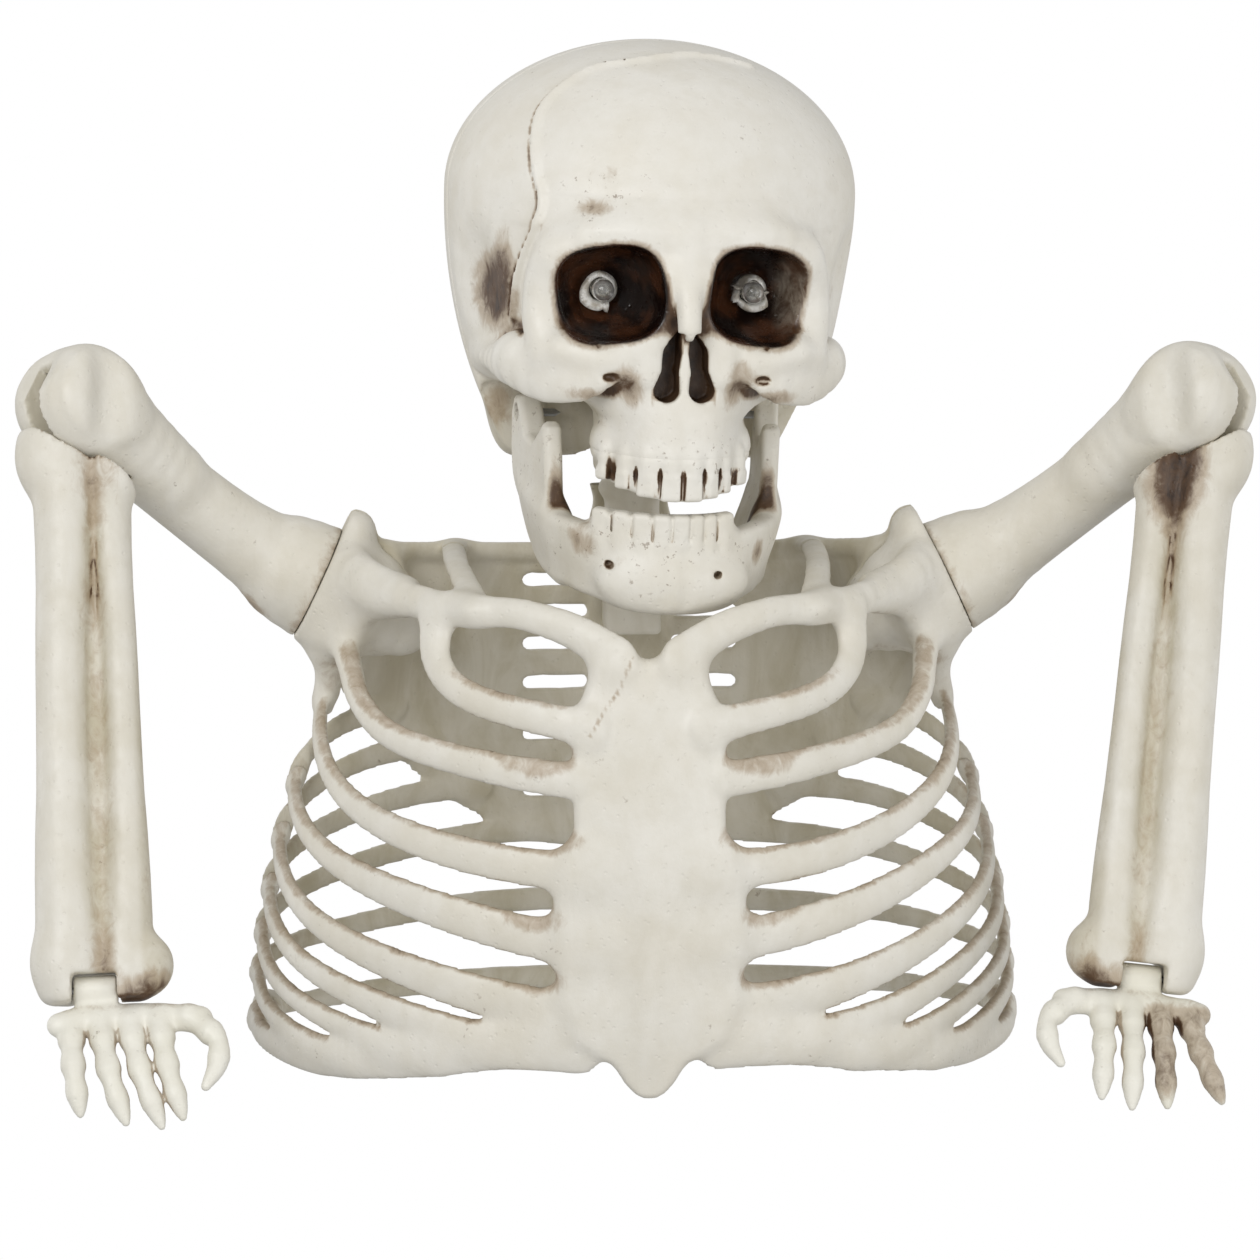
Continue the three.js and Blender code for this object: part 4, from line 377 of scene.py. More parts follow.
def skin(field):
    """Points and four-sided faces of the closed skin where a field changes sign"""
    values = field.values
    inside = values < 0
    shape = values.shape
    strides = np.array([shape[1] * shape[2], shape[2], 1])
    cells, spots, quads, ways = [], [], [], []
    for axis in range(3):
        one, two = (axis + 1) % 3, (axis + 2) % 3
        crossing = np.argwhere(np.diff(inside, axis=axis))
        crossing = crossing[(crossing[:, [one, two]] > 0).all(axis=1)]
        first = values[tuple(crossing.T)]
        second = values[tuple((crossing + np.eye(3, dtype=int)[axis]).T)]
        place = crossing.astype(float)
        place[:, axis] += first / (first - second)
        here = crossing @ strides
        back_one, back_two = here - strides[one], here - strides[two]
        quad = np.stack([back_one - strides[two], back_two, here, back_one], axis=1)
        cells.append(quad.ravel())
        spots.append(np.repeat(place, 4, axis=0))
        quads.append(quad)
        ways.append(first < 0)
    spots, quads, ways = np.concatenate(spots), np.concatenate(quads), np.concatenate(ways)
    used, index = np.unique(np.concatenate(cells), return_inverse=True)
    count = np.bincount(index)
    points = np.stack([np.bincount(index, spots[:, a]) / count for a in range(3)], axis=1)
    faces = np.searchsorted(used, quads)
    faces[~ways] = faces[~ways][:, ::-1]
    return points * field.step + field.low, faces


def relaxed(points, faces):
    """Points eased towards their neighbours and back, which evens the skin without shrinking it"""
    edges = np.concatenate([faces[:, [k, (k + 1) % 4]] for k in range(4)])
    edges = np.unique(np.sort(edges, axis=1), axis=0)
    size = len(points)
    count = np.bincount(edges.ravel(), minlength=size)[:, None]
    for share in (0.5, -0.53):
        total = np.zeros_like(points)
        for a, b in (edges.T, edges[:, ::-1].T):
            total += np.stack([np.bincount(a, points[b, k], size) for k in range(3)], axis=1)
        points = points + share * (total / count - points)
    return points


def point_normals(points, faces):
    a, b, c, d = (points[faces[:, k]] for k in range(4))
    per_face = np.cross(c - a, d - b)
    total = np.zeros_like(points)
    for corner in range(4):
        for axis in range(3):
            total[:, axis] += np.bincount(faces[:, corner], per_face[:, axis], len(points))
    return total / np.maximum(np.linalg.norm(total, axis=1, keepdims=True), 1e-9)


def mesh_object(name, points, faces, matrix, attributes, material):
    """A smooth-shaded object from points in millimetres, moved by a 4 x 4 matrix"""
    placed = points @ matrix[:3, :3].T + matrix[:3, 3]
    if np.linalg.det(matrix[:3, :3]) < 0:
        faces = faces[:, ::-1]
    sides = faces.shape[1]
    mesh = bpy.data.meshes.new(name)
    mesh.vertices.add(len(placed))
    mesh.vertices.foreach_set("co", (placed * MILLIMETRE).astype(np.float32).ravel())
    mesh.loops.add(faces.size)
    mesh.loops.foreach_set("vertex_index", faces.astype(np.int32).ravel())
    mesh.polygons.add(len(faces))
    mesh.polygons.foreach_set("loop_start", np.arange(0, faces.size, sides, dtype=np.int32))
    mesh.polygons.foreach_set("use_smooth", np.ones(len(faces), bool))
    mesh.update(calc_edges=True)
    for title, values in attributes.items():
        layer = mesh.attributes.new(title, "FLOAT", "POINT")
        layer.data.foreach_set("value", np.asarray(values, np.float32))
    mesh.materials.append(material)
    thing = bpy.data.objects.new(name, mesh)
    bpy.context.scene.collection.objects.link(thing)
    return thing


# The stain, painted shade, wet and grime levels where a piece says nothing else
PLAIN = {"stain": 0, "shade": 0, "wet": 0, "grime": 0.15}


def hollowness(field, points, normals, reach):
    """How shut in each point of the skin is, as far out as reach: 0 on open bone, 1 in a crack"""
    seen = field.sample(points + normals * reach) / reach
    return np.clip(1 - seen, 0, 1)


def spot(points, centre, radii):
    """1 at a centre, falling to 0 at an oval's edge"""
    away = np.linalg.norm((points - np.array(centre)) / np.array(radii), axis=1)
    return smooth(1 - away)


def with_spots(values, points, spots):
    """Values with some added round each spot, whose amount, centre and radii are given"""
    for amount, centre, radii in spots:
        values = values + amount * spot(points, centre, radii)
    return values


def bone_piece(name, field, matrix, paint, looks, body, replaced, slot="bone_plastic"):
    """Grows the skin of a field, paints it and puts it on its body"""
    points, faces = skin(field)
    points = relaxed(points, faces)
    normals = point_normals(points, faces)
    at = SimpleNamespace(points=points, normals=normals)
    at.crease = hollowness(field, points, normals, CREASE_REACH)
    at.pit = hollowness(field, points, normals, PIT_REACH)
    attributes = {**PLAIN, **paint(at)}
    attributes = {k: np.clip(np.broadcast_to(v, len(points)), 0, 1) for k, v in attributes.items()}
    thing = mesh_object(name, points, faces, matrix, attributes, looks[slot])
    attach(thing, body)
    if replaced:
        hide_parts(*replaced)


# Frames


def placing(axes=np.eye(3), origin=(0, 0, 0)):
    matrix = np.eye(4)
    matrix[:3, :3] = axes
    matrix[:3, 3] = origin
    return matrix


def about(point, axes):
    """A turn about a point"""
    point = np.array(point, float)
    return placing(axes, point - axes @ point)


TORSO = placing(origin=(0, DEPTH_SHIFT, 0))
HEAD = TORSO @ about(NECK, turned((0, 0, 1), HEAD_YAW) @ turned((0, 1, 0), HEAD_LEAN))
JAW = HEAD @ about(HINGE, turned((1, 0, 0), JAW_OPEN))

shoulder_axis = turned((0, 1, 0), -SHOULDER_TILT) @ np.array([1.0, 0, 0])
shaft_way = turned((0, 1, 0), -HUMERUS_BEND) @ np.array([1.0, 0, 0])
elbow_axis = turned((0, 1, 0), -HUMERUS_BEND) @ np.array([0, 0, 1.0])
elbow_point = shaft_way * HUMERUS_LENGTH
wide_way = turned((0, 0, 1), FOREARM_TWIST) @ np.array([1.0, 0, 0])
thin_way = np.cross([0, 0, 1.0], wide_way)
wrist_point = np.array([0, 0, -FOREARM_LENGTH])
hinge_axes = np.stack([wide_way, thin_way, [0, 0, 1.0]], axis=1)


def forearm_axes(angle):
    """The forearm's axes in the upper arm's frame, with the elbow at an angle"""
    up = turned(elbow_axis, angle) @ shaft_way
    return np.stack([elbow_axis, np.cross(up, elbow_axis), up], axis=1)


def arm_frames(rest):
    """Matrices of the shoulder's, the elbow's and the wrist's frames at rest"""
    up = np.array([-shoulder_axis[2], 0, shoulder_axis[0]])
    bend_way = turned(shoulder_axis, rest["swivel"]) @ up
    shoulder_axes = np.stack([shoulder_axis, np.cross(bend_way, shoulder_axis), bend_way], axis=1)
    mirror = placing(np.diag([float(rest["side"]), 1, 1]), (0, DEPTH_SHIFT, 0))
    shoulder = mirror @ placing(shoulder_axes, SHOULDER)
    elbow = shoulder @ placing(forearm_axes(rest["elbow"]), elbow_point)
    wrist = elbow @ placing(hinge_axes @ turned((1, 0, 0), rest["wrist"]), wrist_point)
    return shoulder, elbow, wrist


# Rib cage


def cage_half_width(z):
    return mix(RIM_HALF_WIDTH, TOP_HALF_WIDTH, (np.maximum(0, z) / CAGE_TOP) ** 1.8)


def cage_depth(z, front):
    full, top = (FRONT_DEPTH, FRONT_TOP_DEPTH) if front else (BACK_DEPTH, BACK_TOP_DEPTH)
    above = np.maximum(0, z - FULLEST) / (CAGE_TOP - FULLEST)
    below = np.maximum(0, FULLEST - z) / FULLEST
    return full - (full - top) * above**2 - RIM_TUCK * below**2


def cage_back(height):
    """How far back the cage reaches at a height"""
    return float(cage_depth(np.array(height), False))


class Wall:
    """Where each point of a field is, measured along the oval wall of the cage"""

    def __init__(self, field, front):
        x, y, z = field.everywhere()
        width, depth = cage_half_width(z), cage_depth(z, front)
        across, forward = np.abs(x) / width, (-y if front else y) / depth
        share = np.sqrt(across**2 + forward**2)
        slope = np.sqrt((across / width) ** 2 + (forward / depth) ** 2) / share
        self.outside = (share - 1) / slope
        self.angle = np.degrees(np.arctan2(forward, across))
        turn = np.radians(self.angle)
        self.arc = np.hypot(width * np.sin(turn), depth * np.cos(turn)) * math.radians(1)
        self.z = z
        self.side = np.sign(x)


def wall_rib(field, wall, start, end, height_at, half_at, thickness=RIB_THICKNESS, blend=6.0, wander=0.0):
    """A rib in the wall from one angle to another, with a knob where it starts at the side"""
    at_side = start == 0
    share = np.clip((wall.angle - start) / (end - start), 0, 1)
    drift = wander * np.sin(wall.angle * 0.11 + wander * 5 + wall.side) * smooth(share * 3)
    height = height_at(share) + drift
    little = 0.02
    rise = height_at(np.minimum(share + little, 1)) - height_at(np.maximum(share - little, 0))
    rise /= 2 * little
    lean = rise / ((end - start) * wall.arc)
    level = 1 / np.sqrt(1 + lean**2)
    knob = smooth(1 - (wall.angle - start) * wall.arc / KNOB_LENGTH) if at_side else 0
    beyond = np.maximum(wall.angle - end, 0 if at_side else start - wall.angle) * wall.arc
    beyond = np.maximum(beyond, 0)
    half = half_at(share) + KNOB_HEIGHT * knob
    thin = thickness / 2 + KNOB_THICKNESS * knob
    parts = (wall.outside + thickness / 2, (wall.z - height) * level, beyond)
    field.merge(oval(parts, (thin, half, half)), blend)


# Middle lines of the collar bone and of the bands that ring the upper openings, from the side inwards
CLAVICLE = (
    (112, -6, 187), (104, -30, 184.5), (94, -42, 180.5), (80, -62, 180), (64, -78, 179.5), (49.5, -87, 181),
    (37, -93, 179), (25, -98, 175), (12, -102, 167),
)
FIRST_BAND = (
    (76, -69, 175), (76.5, -74, 163), (72, -82, 155), (63, -90, 150), (50, -98, 147), (35, -104, 144.5),
    (22, -107.5, 142),
)
SECOND_BAND = (
    (112, -14, 160), (108.5, -34, 151), (105.5, -49, 142.5), (98, -65, 135), (87, -79, 131), (69.5, -92, 128),
    (50, -102.5, 125.5), (30, -108.5, 123.5),
)

# Each front rib: the angle and height where it starts, its height at the breastbone, how fast it falls,
# its half height at the front and the angle where it ends
FRONT_RIBS = (
    (1, 133, 90.5, 2.0, 7.3, 80),
    (0, 100, 63, 1.2, 8.0, 80),
    (0, 78, 38, 1.4, 8.0, 80),
    (0, 58, 21, 1.35, 7.0, 80),
    (0, 40, 16, 1.3, 5.0, 58),
    (0, 24, 9, 1.2, 4.5, 42),
)

# Each back rib: its height at the side, the angle and height where it ends
BACK_RIBS = ((100, 38, 122), (78, 50, 106), (58, 62, 88), (40, 80, 70), (24, 88, 42), (4, 88, 10))

SHELL_SCREWS = {
    "shoulder_screw_upper": ((98, 19, 182), (98, -9, 182)),
    "shoulder_screw_lower": ((117, 14, 151), (117, -9, 151)),
    "rim_screw": ((143.5, 12, 7), (143.5, -8, 7)),
}


def add_front_ribs(field, wall):
    for i, (start, high, low, fall, front_half, end) in enumerate(FRONT_RIBS):

        def height_at(t, high=high, low=low, fall=fall):
            return low + (high - low) * (1 - t) ** fall

        def half_at(t, front_half=front_half):
            return mix(3.5, front_half, smooth(t))

        wall_rib(field, wall, start, end, height_at, half_at, blend=5.0, wander=0.5 + 0.07 * i)


def add_front_rim(field, wall):
    def half_at(t):
        return mix(5, 8.5, smooth(t))

    def height_at(t):
        return 22 * (np.maximum(0, t - 0.35) / 0.65) ** 1.5 + half_at(t) - 1

    wall_rib(field, wall, 0, 80, height_at, half_at, thickness=RIB_THICKNESS + 1, blend=5.0)


def sternum_values(wall, x, z):
    """The breastbone: a plate whose half width changes with height, rounded at its edges"""
    bottom, top, half_width = 4, 166, 24
    heights = (3, 10, 19, 27, 42, 52, 78, 105, 133, 150, 166)
    shares = (0.12, 0.38, 0.6, 1.05, 1.32, 1.36, 1.42, 1.15, 1.15, 1.05, 0.8)
    sides = np.abs(x) - np.interp(z, heights, np.array(shares) * half_width)
    ridge = 1.8 * np.exp(-((x / 7) ** 2)) * smooth((112 - z) / 30) * smooth((z - 6) / 20)
    depth = np.abs(wall.outside + 2.9) - 3.0 - ridge
    return rounded(3.0, sides, depth, np.maximum(z - top, bottom - z))


def add_shoulder(field):
    """The boss that the arm turns in, the knob above it and the bar below it"""
    inner = SHOULDER - shoulder_axis * 34
    boss = strand([SHOULDER - shoulder_axis * 2, SHOULDER - shoulder_axis * 12, inner], [23, 24, 14], count=6)
    knob = ellipsoid((107, 0, 198), (8, 12, 7))
    plate = strand([(86, -44, 179), (99, -31, 177), (112, -15, 173)], [4.5, 5.5, 7], 8, (0, 0, 1), [6, 9, 15])
    bar = strand([(118, -3, 160), (117, -2, 146), (119, 0, 130)], [15, 10, 5], 6, (1, 0, 0), [9, 6, 3.4])
    for form, blend in ((boss, 9), (knob, 7), (plate, 10), (bar, 7)):
        field.add(both_sides(form), blend)


def cut_shoulder(field):
    """Room for the arm beyond the boss's face, and the pocket that traps its spigot"""
    deep = SPIGOT_LENGTH + SPIGOT_HEAD_LENGTH + TURN_GAP
    for start, end, radius in (
        (0, 40, 42),
        (5, -SPIGOT_LENGTH - 1, SPIGOT_RADIUS + TURN_GAP),
        (TURN_GAP - SPIGOT_LENGTH, -deep, SPIGOT_HEAD_RADIUS + TURN_GAP),
    ):
        field.cut(both_sides(rod(SHOULDER + shoulder_axis * start, SHOULDER + shoulder_axis * end, radius)))


def add_bands(field):
    """The collar bone and the two bands below it, which close the upper openings into rings"""
    outward = (0.45, -1, 0.15)
    for line, radii, count, halves, blend in (
        (CLAVICLE, (9, 7.5, 6.6, 6.2, 5.8, 5.6, 6, 6.6, 8), 26, (6, 5, 4.2, 3.6, 3.6, 3.6, 3.8, 4, 4), 7),
        (FIRST_BAND, (6.6, 5.8, 5.6, 5.8, 6, 6.4, 7), 24, (3.6, 3.3, 3.2, 3.1, 3, 3, 3), 5),
        (SECOND_BAND, (6, 4.8, 4.6, 5, 5.4, 5.8, 6.3, 6.8), 26, (5, 4, 3.4, 3.2, 3, 3, 2.8, 2.8), 4),
    ):
        field.add(both_sides(strand(line, radii, count, outward, halves)), blend)


def top_strut():
    points = [(62, -78, 181), (65, -58, 186), (68, -30, 188.5), (69, 0, 189), (68, 24, 186)]
    return both_sides(strand(points, [6.5, 5, 4.6, 4.6, 5.5], 12, (0, 0, 1), [3.8, 3, 3, 3, 3.4]))


def rim_boss():
    (x, y, z), tip = SHELL_SCREWS["rim_screw"]
    return both_sides(rod((x, y + 1, z), (x, tip[1] - 3, z), 6, 1.5))


def neck_screw(height):
    """Head and tip of a screw from the back shell into the neck post"""
    back = cage_back(height)
    return (0, back + NECK_SCREW_HEAD, height), (0, back + NECK_SCREW_TIP, height)


def hold_above_base(field):
    lowest = -0.2
    field.keep(lowest - field.everywhere()[2], 0.6)


def beside_line(points, line, width):
    """1 on a broken line drawn in the X-Z plane, falling to 0 at a distance"""
    x, _, z = points.T
    away = [from_segment(x, z, start, end)[0] for start, end in zip(line, line[1:])]
    return smooth(1 - np.min(away, axis=0) / width)


def chest_paint(at):
    x, _, z = at.points.T
    upward = at.normals[:, 2]
    behind = smooth(0.4 + at.normals[:, 1])
    stain = 0.45 * smooth((at.crease - 0.25) / 0.6) + 0.4 * smooth((at.pit - 0.45) / 0.4)
    crack = beside_line(at.points, ((-6, 168), (-11, 155.5), (-17.5, 147), (-22, 140)), 1.5)
    upper_edge = smooth((upward - 0.25) / 0.5) * smooth((np.abs(x) - 22) / 10) * smooth((165 - z) / 10)
    lower_edge = smooth((-upward - 0.4) / 0.5) * smooth((np.abs(x) - 26) / 10)
    stain += 0.5 * upper_edge + 0.28 * lower_edge
    rib_ends = ((33, 102), (39, 73), (39, 50), (40, 130))
    for side in (-1, 1):
        spots = [(0.95, (side * across, -106, height), (22, 16, 10)) for across, height in rib_ends]
        spots += [
            (0.4, (side * 52, -100, 84), (26, 14, 8)),
            (0.5, (side * 116, -8, 150), (12, 14, 26)),
            (0.45, (side * 112, -20, 172), (12, 12, 20)),
            (0.4, (side * 100, -50, 140), (14, 16, 14)),
        ]
        stain = with_spots(stain, at.points, spots)
    stain += 0.5 * spot(at.points, (-141, -10, 38), (10, 16, 50)) * behind
    stain = np.minimum(stain, 0.56)
    stain += 0.52 * crack * (1 - behind)
    shade = 0.3 + 0.65 * behind + 0.25 * smooth((at.pit - 0.2) / 0.6)
    return {"stain": stain, "shade": shade}


def finish_shell(field, within):
    """What both shells have where they meet, and the cut between them"""
    add_shoulder(field)
    field.add(rim_boss(), 3)
    cut_shoulder(field)
    for head, tip in SHELL_SCREWS.values():
        field.cut(both_sides(screw_hole(head, tip)))
    hold_above_base(field)
    field.keep(within + SEAT_GAP / 2)


def chest_shell(looks):
    field = Field((-160, -124, -4), (160, 3, 210), 1.45)
    wall = Wall(field, True)
    add_front_ribs(field, wall)
    add_front_rim(field, wall)
    x, y, z = field.everywhere()
    field.merge(sternum_values(wall, x, z), 9)
    add_bands(field)
    field.add(top_strut(), 6)
    finish_shell(field, y)
    bone_piece("chest_bones", field, TORSO, chest_paint, looks, "torso", ["chest_shell"])


def back_plate_values(wall):
    lower = mix(136, 62, smooth((wall.angle - 10) / 75))
    sides = (10 - wall.angle) * wall.arc
    up_down = np.maximum(lower - wall.z, wall.z - 186)
    half = PLATE_THICKNESS / 2
    return rounded(1.4, np.maximum(sides, up_down), np.abs(wall.outside + half) - half)


def spine_values(wall, x, z):
    """The flat band of the spine inside, with its vertebrae standing out at the back"""
    swell = 0.5 - 0.5 * np.cos((z / VERTEBRA_PITCH) * 2 * math.pi)
    half = 14.5 + 1.5 * swell
    back = 0.5 + 2.4 * swell * np.exp(-((x / 8.5) ** 2))
    return rounded(2.2, np.abs(x) - half, np.maximum(wall.outside - back, -SPINE_DEPTH - wall.outside))


def back_paint(at):
    inner = smooth(0.5 - at.normals[:, 1])
    stain = 0.7 * smooth((at.crease - 0.3) / 0.6) + 0.15 * smooth((at.pit - 0.5) / 0.5)
    stain += 0.25 * smooth((np.abs(at.points[:, 0]) - 112) / 20) * inner
    return {"stain": stain, "shade": 0.3 + 0.7 * inner}


def back_shell(looks):
    field = Field((-160, -3, -4), (160, 52, 210), 1.45)
    wall = Wall(field, False)
    x, y, z = field.everywhere()
    field.merge(back_plate_values(wall))
    for middle in SLOT_HEIGHTS:
        slot = block((16, -20, middle - 2.4), (42, 60, middle + 2.4), 2.3)
        field.cut(both_sides(slot), 1.2)
    for side_height, end_angle, end_height in BACK_RIBS:

        def height_at(t, start=side_height, end=end_height):
            return mix(start, end, np.sin(t * math.pi / 2))

        def half_at(t):
            return mix(3.5, 5, smooth(t))

        wall_rib(field, wall, 0, end_angle, height_at, half_at, blend=3.5, wander=0.4)
    field.merge(spine_values(wall, x, z), 2.5)
    field.add(top_strut(), 6)
    angles = np.radians([88, 69, 50, 31, 12])
    width, depth = cage_half_width(CAGE_TOP) - 2.5, cage_depth(CAGE_TOP, False) - 2.5
    heights = (182, 183.5, 185, 186.5, 188)
    edge = [(width * math.cos(a), depth * math.sin(a), height) for a, height in zip(angles, heights)]
    field.add(both_sides(strand(edge, [3.6, 3.6], 10, (0, 1, 0.4), [3, 3])), 3)
    for height in NECK_SCREWS.values():
        field.cut(screw_hole(*neck_screw(height)))
    finish_shell(field, -y)
    bone_piece("back_bones", field, TORSO, back_paint, looks, "torso", ["back_shell"])


def neck_rod(bottom, top, radius, rounding=0.0):
    return rod((0, NECK[1], bottom), (0, NECK[1], top), radius, rounding)


def neck_paint(at):
    return {"stain": 0.8 * smooth((at.crease - 0.2) / 0.5), "shade": 0.5 + 0.4 * smooth(at.pit)}


def neck_post(looks):
    field = Field((-18, -6, 150), (18, 38, 250), 0.9)
    lobes = 4
    bottom, top = CAGE_TOP - 15, NECK[2] - 2
    field.add(neck_rod(bottom, top, 10.6, 1))
    for i in range(lobes):
        field.add(ellipsoid((0, NECK[1], mix(bottom, top, (i + 0.5) / lobes)), (13, 11, 6.6)), 2)
    for i in range(lobes - 1):
        field.add(ellipsoid((0, 24.7, mix(bottom, top, (i + 1.5) / lobes)), (3.5, 8, 4)), 2)
    field.add(block((-11, 5, 154), (11, cage_back(170.0) - SPINE_DEPTH - SEAT_GAP, 186), 2), 2)
    field.add(neck_rod(top - 2, POST_TOP, POST_PIN_RADIUS, 0.5))
    for height in NECK_SCREWS.values():
        seat = cage_back(height) - SPINE_DEPTH - SEAT_GAP
        field.cut(screw_hole(*neck_screw(height)))
        field.cut(block((-20, seat, 150), (20, 60, 200)))
    field.cut(screw_hole((0, NECK[1], 247.5), (0, NECK[1], 224)))
    bone_piece("neck_bones", field, TORSO, neck_paint, looks, "torso", ["neck_post"])


# Arms


def humerus_field():
    field = Field((-22, -30, -28), (140, 30, 78), 1.25)
    start, turn_point = np.array([1.0, 0, 0]), np.array([36.3, 0, -1])
    share = np.linspace(0, 1, 7)[:, None]
    bend = mix(mix(start, turn_point, share), mix(turn_point, elbow_point, share), share)
    field.add(strand(bend, [22.5, 21, 17, 15.3, 14.5, 14.2, 14.4, 15.2, 16.5], 16))
    half = elbow_axis * ELBOW_WIDTH / 2
    field.add(rod(elbow_point - half, elbow_point + half, ELBOW_RADIUS, 9.5), 11)
    flare = [elbow_point, elbow_point - shaft_way * 22, elbow_point - shaft_way * 46]
    field.add(strand(flare, [17, 15.2, 10.5], 8, elbow_axis, [16.5, 15.6, 10.5]), 8)
    drum_axes = np.stack([shaft_way, [0, 1, 0], elbow_axis], axis=1)
    upright = unit(np.array([0.32, 0.74, 0.15])) * 16
    for side in (-1, 1):
        end = elbow_point + half * side
        field.add(ellipsoid(end - elbow_axis * side * 2, (15, 14, 4.5), drum_axes), 9)
        valley = end + elbow_axis * side * 6.9
        field.cut(strand([valley + upright, valley - upright], [6, 6], 6), 7)
    beyond = elbow_point + shaft_way * 30
    field.cut(strand([beyond - elbow_axis, beyond + elbow_axis], [11.5, 11.5], 2), 6)
    field.cut(block((-60, -60, -60), (SEAT_GAP, 60, 60)))
    field.add(rod((-SPIGOT_LENGTH - 1, 0, 0), (2, 0, 0), SPIGOT_RADIUS))
    field.add(strand([(-SPIGOT_LENGTH - 0.5, 0, 0), (-SPIGOT_LENGTH - 3, 0, 0)], [9.5, 8], 2))
    field.cut(block((-30, -20, -20), (-SPIGOT_LENGTH - SPIGOT_HEAD_LENGTH, 20, 20)))
    cut_elbow_slot(field)
    pin = elbow_axis * (ELBOW_WIDTH / 2 - 2 + SEAT_GAP)
    field.cut(rod(elbow_point - pin, elbow_point + pin, PIN_RADIUS + SEAT_GAP))
    return field


def cut_elbow_slot(field):
    """The slot that the forearm's tongue turns in: a disc, and the sector that its neck sweeps"""
    axes = np.stack([-shaft_way, np.cross(elbow_axis, -shaft_way), elbow_axis], axis=1)
    spread_angle = 34.0
    first = math.radians(ELBOW_FOLDED - spread_angle)
    last = math.radians(ELBOW_OPEN + spread_angle)
    reach = ELBOW_RADIUS + 14

    def distance(x, y, z):
        a, b, c = along_axes((x - elbow_point[0], y - elbow_point[1], z - elbow_point[2]), axes)
        out = np.hypot(a, b)
        angle = np.mod(np.arctan2(b, a), 2 * math.pi)
        past = np.maximum(first - angle, angle - last) * np.maximum(out, 1)
        flat = np.minimum(out - TONGUE_RADIUS - TURN_GAP, np.maximum(past, out - reach))
        return np.maximum(np.abs(c) - TONGUE_THICKNESS / 2 - TURN_GAP, flat)

    field.cut((elbow_point - reach, elbow_point + reach, distance))


def humerus_paint(at):
    stain = 0.8 * smooth((at.crease - 0.35) / 0.5)
    stain += 0.6 * spot(at.points, (20, -18, -6), (18, 12, 14))
    stain += 0.42 * smooth((9 - at.points[:, 0]) / 9)
    return {"stain": stain, "shade": 0.35 + 0.4 * smooth((at.pit - 0.3) / 0.5)}


def swept(mover, low, high, places):
    """The room that a form needs in each of its places

    A place is the form's axes, a point, and where that point is in the form's own frame."""

    def distance(x, y, z):
        grid = np.stack(np.broadcast_arrays(x, y, z), axis=-1).reshape(-1, 3).astype(float)
        depths = [mover.sample((grid - origin) @ axes + own) for axes, origin, own in places]
        shape = np.broadcast_shapes(x.shape, y.shape, z.shape)
        return (np.min(depths, axis=0) - CLEARANCE).reshape(shape).astype(np.float32)

    return np.array(low, float), np.array(high, float), distance


def elbow_places():
    """The upper arm as the forearm sees it with the elbow folded and open"""
    angles = (ELBOW_FOLDED - PAST_LIMIT, ELBOW_OPEN + PAST_LIMIT)
    return [(forearm_axes(angle).T, np.zeros(3), elbow_point) for angle in angles]


def wrist_places():
    """The hand as the forearm sees it, from one end of its turn to the other"""
    angles = np.linspace(-WRIST_TURN - PAST_LIMIT, WRIST_TURN + PAST_LIMIT, 7)
    return [(hinge_axes @ turned((1, 0, 0), angle), wrist_point, np.zeros(3)) for angle in angles]


def add_forearm_bones(field, top, bottom):
    """Two bones side by side, thicker at their ends, and the web that joins them"""
    rows = np.linspace(0, 1, 9)
    upward = np.array([0, 0, 1.0])
    heights = mix(top, bottom, rows)
    total = np.array([20.5, 18, 17.5, 18.3, 18.8, 19.3, 20.5, 21, 19])
    inner = np.array([11, 8.4, 6.9, 6.4, 6.4, 6.7, 7.8, 9.4, 10.5])
    outer = np.array([14, 12, 10.6, 9.9, 9.7, 9.9, 10.7, 12.2, 12.0])
    count = 15
    for side, thick in ((1, inner), (-1, outer)):
        points = [wide_way * side * (w - r) + upward * z for w, r, z in zip(total, thick, heights)]
        field.add(strand(points, thick, count, thin_way, thick * mix(1.1, 1.0, rows)), 2)
    web = [wide_way * 2 + upward * z for z in heights]
    field.add(strand(web, np.full(9, 10.0), count, thin_way, [7, 3.4, 2.3, 2, 2, 2.3, 3.4, 6.5, 9]), 2.4)
    for across, z, radii in (
        (18.5, -208, (9.5, 9.5, 11)),
        (13.5, -24, (9.5, 11, 14)),
        (-14, -20, (10, 13, 15)),
        (-12, -206, (11, 12, 14)),
    ):
        field.add(ellipsoid(wide_way * across + upward * z, radii, hinge_axes), 5)


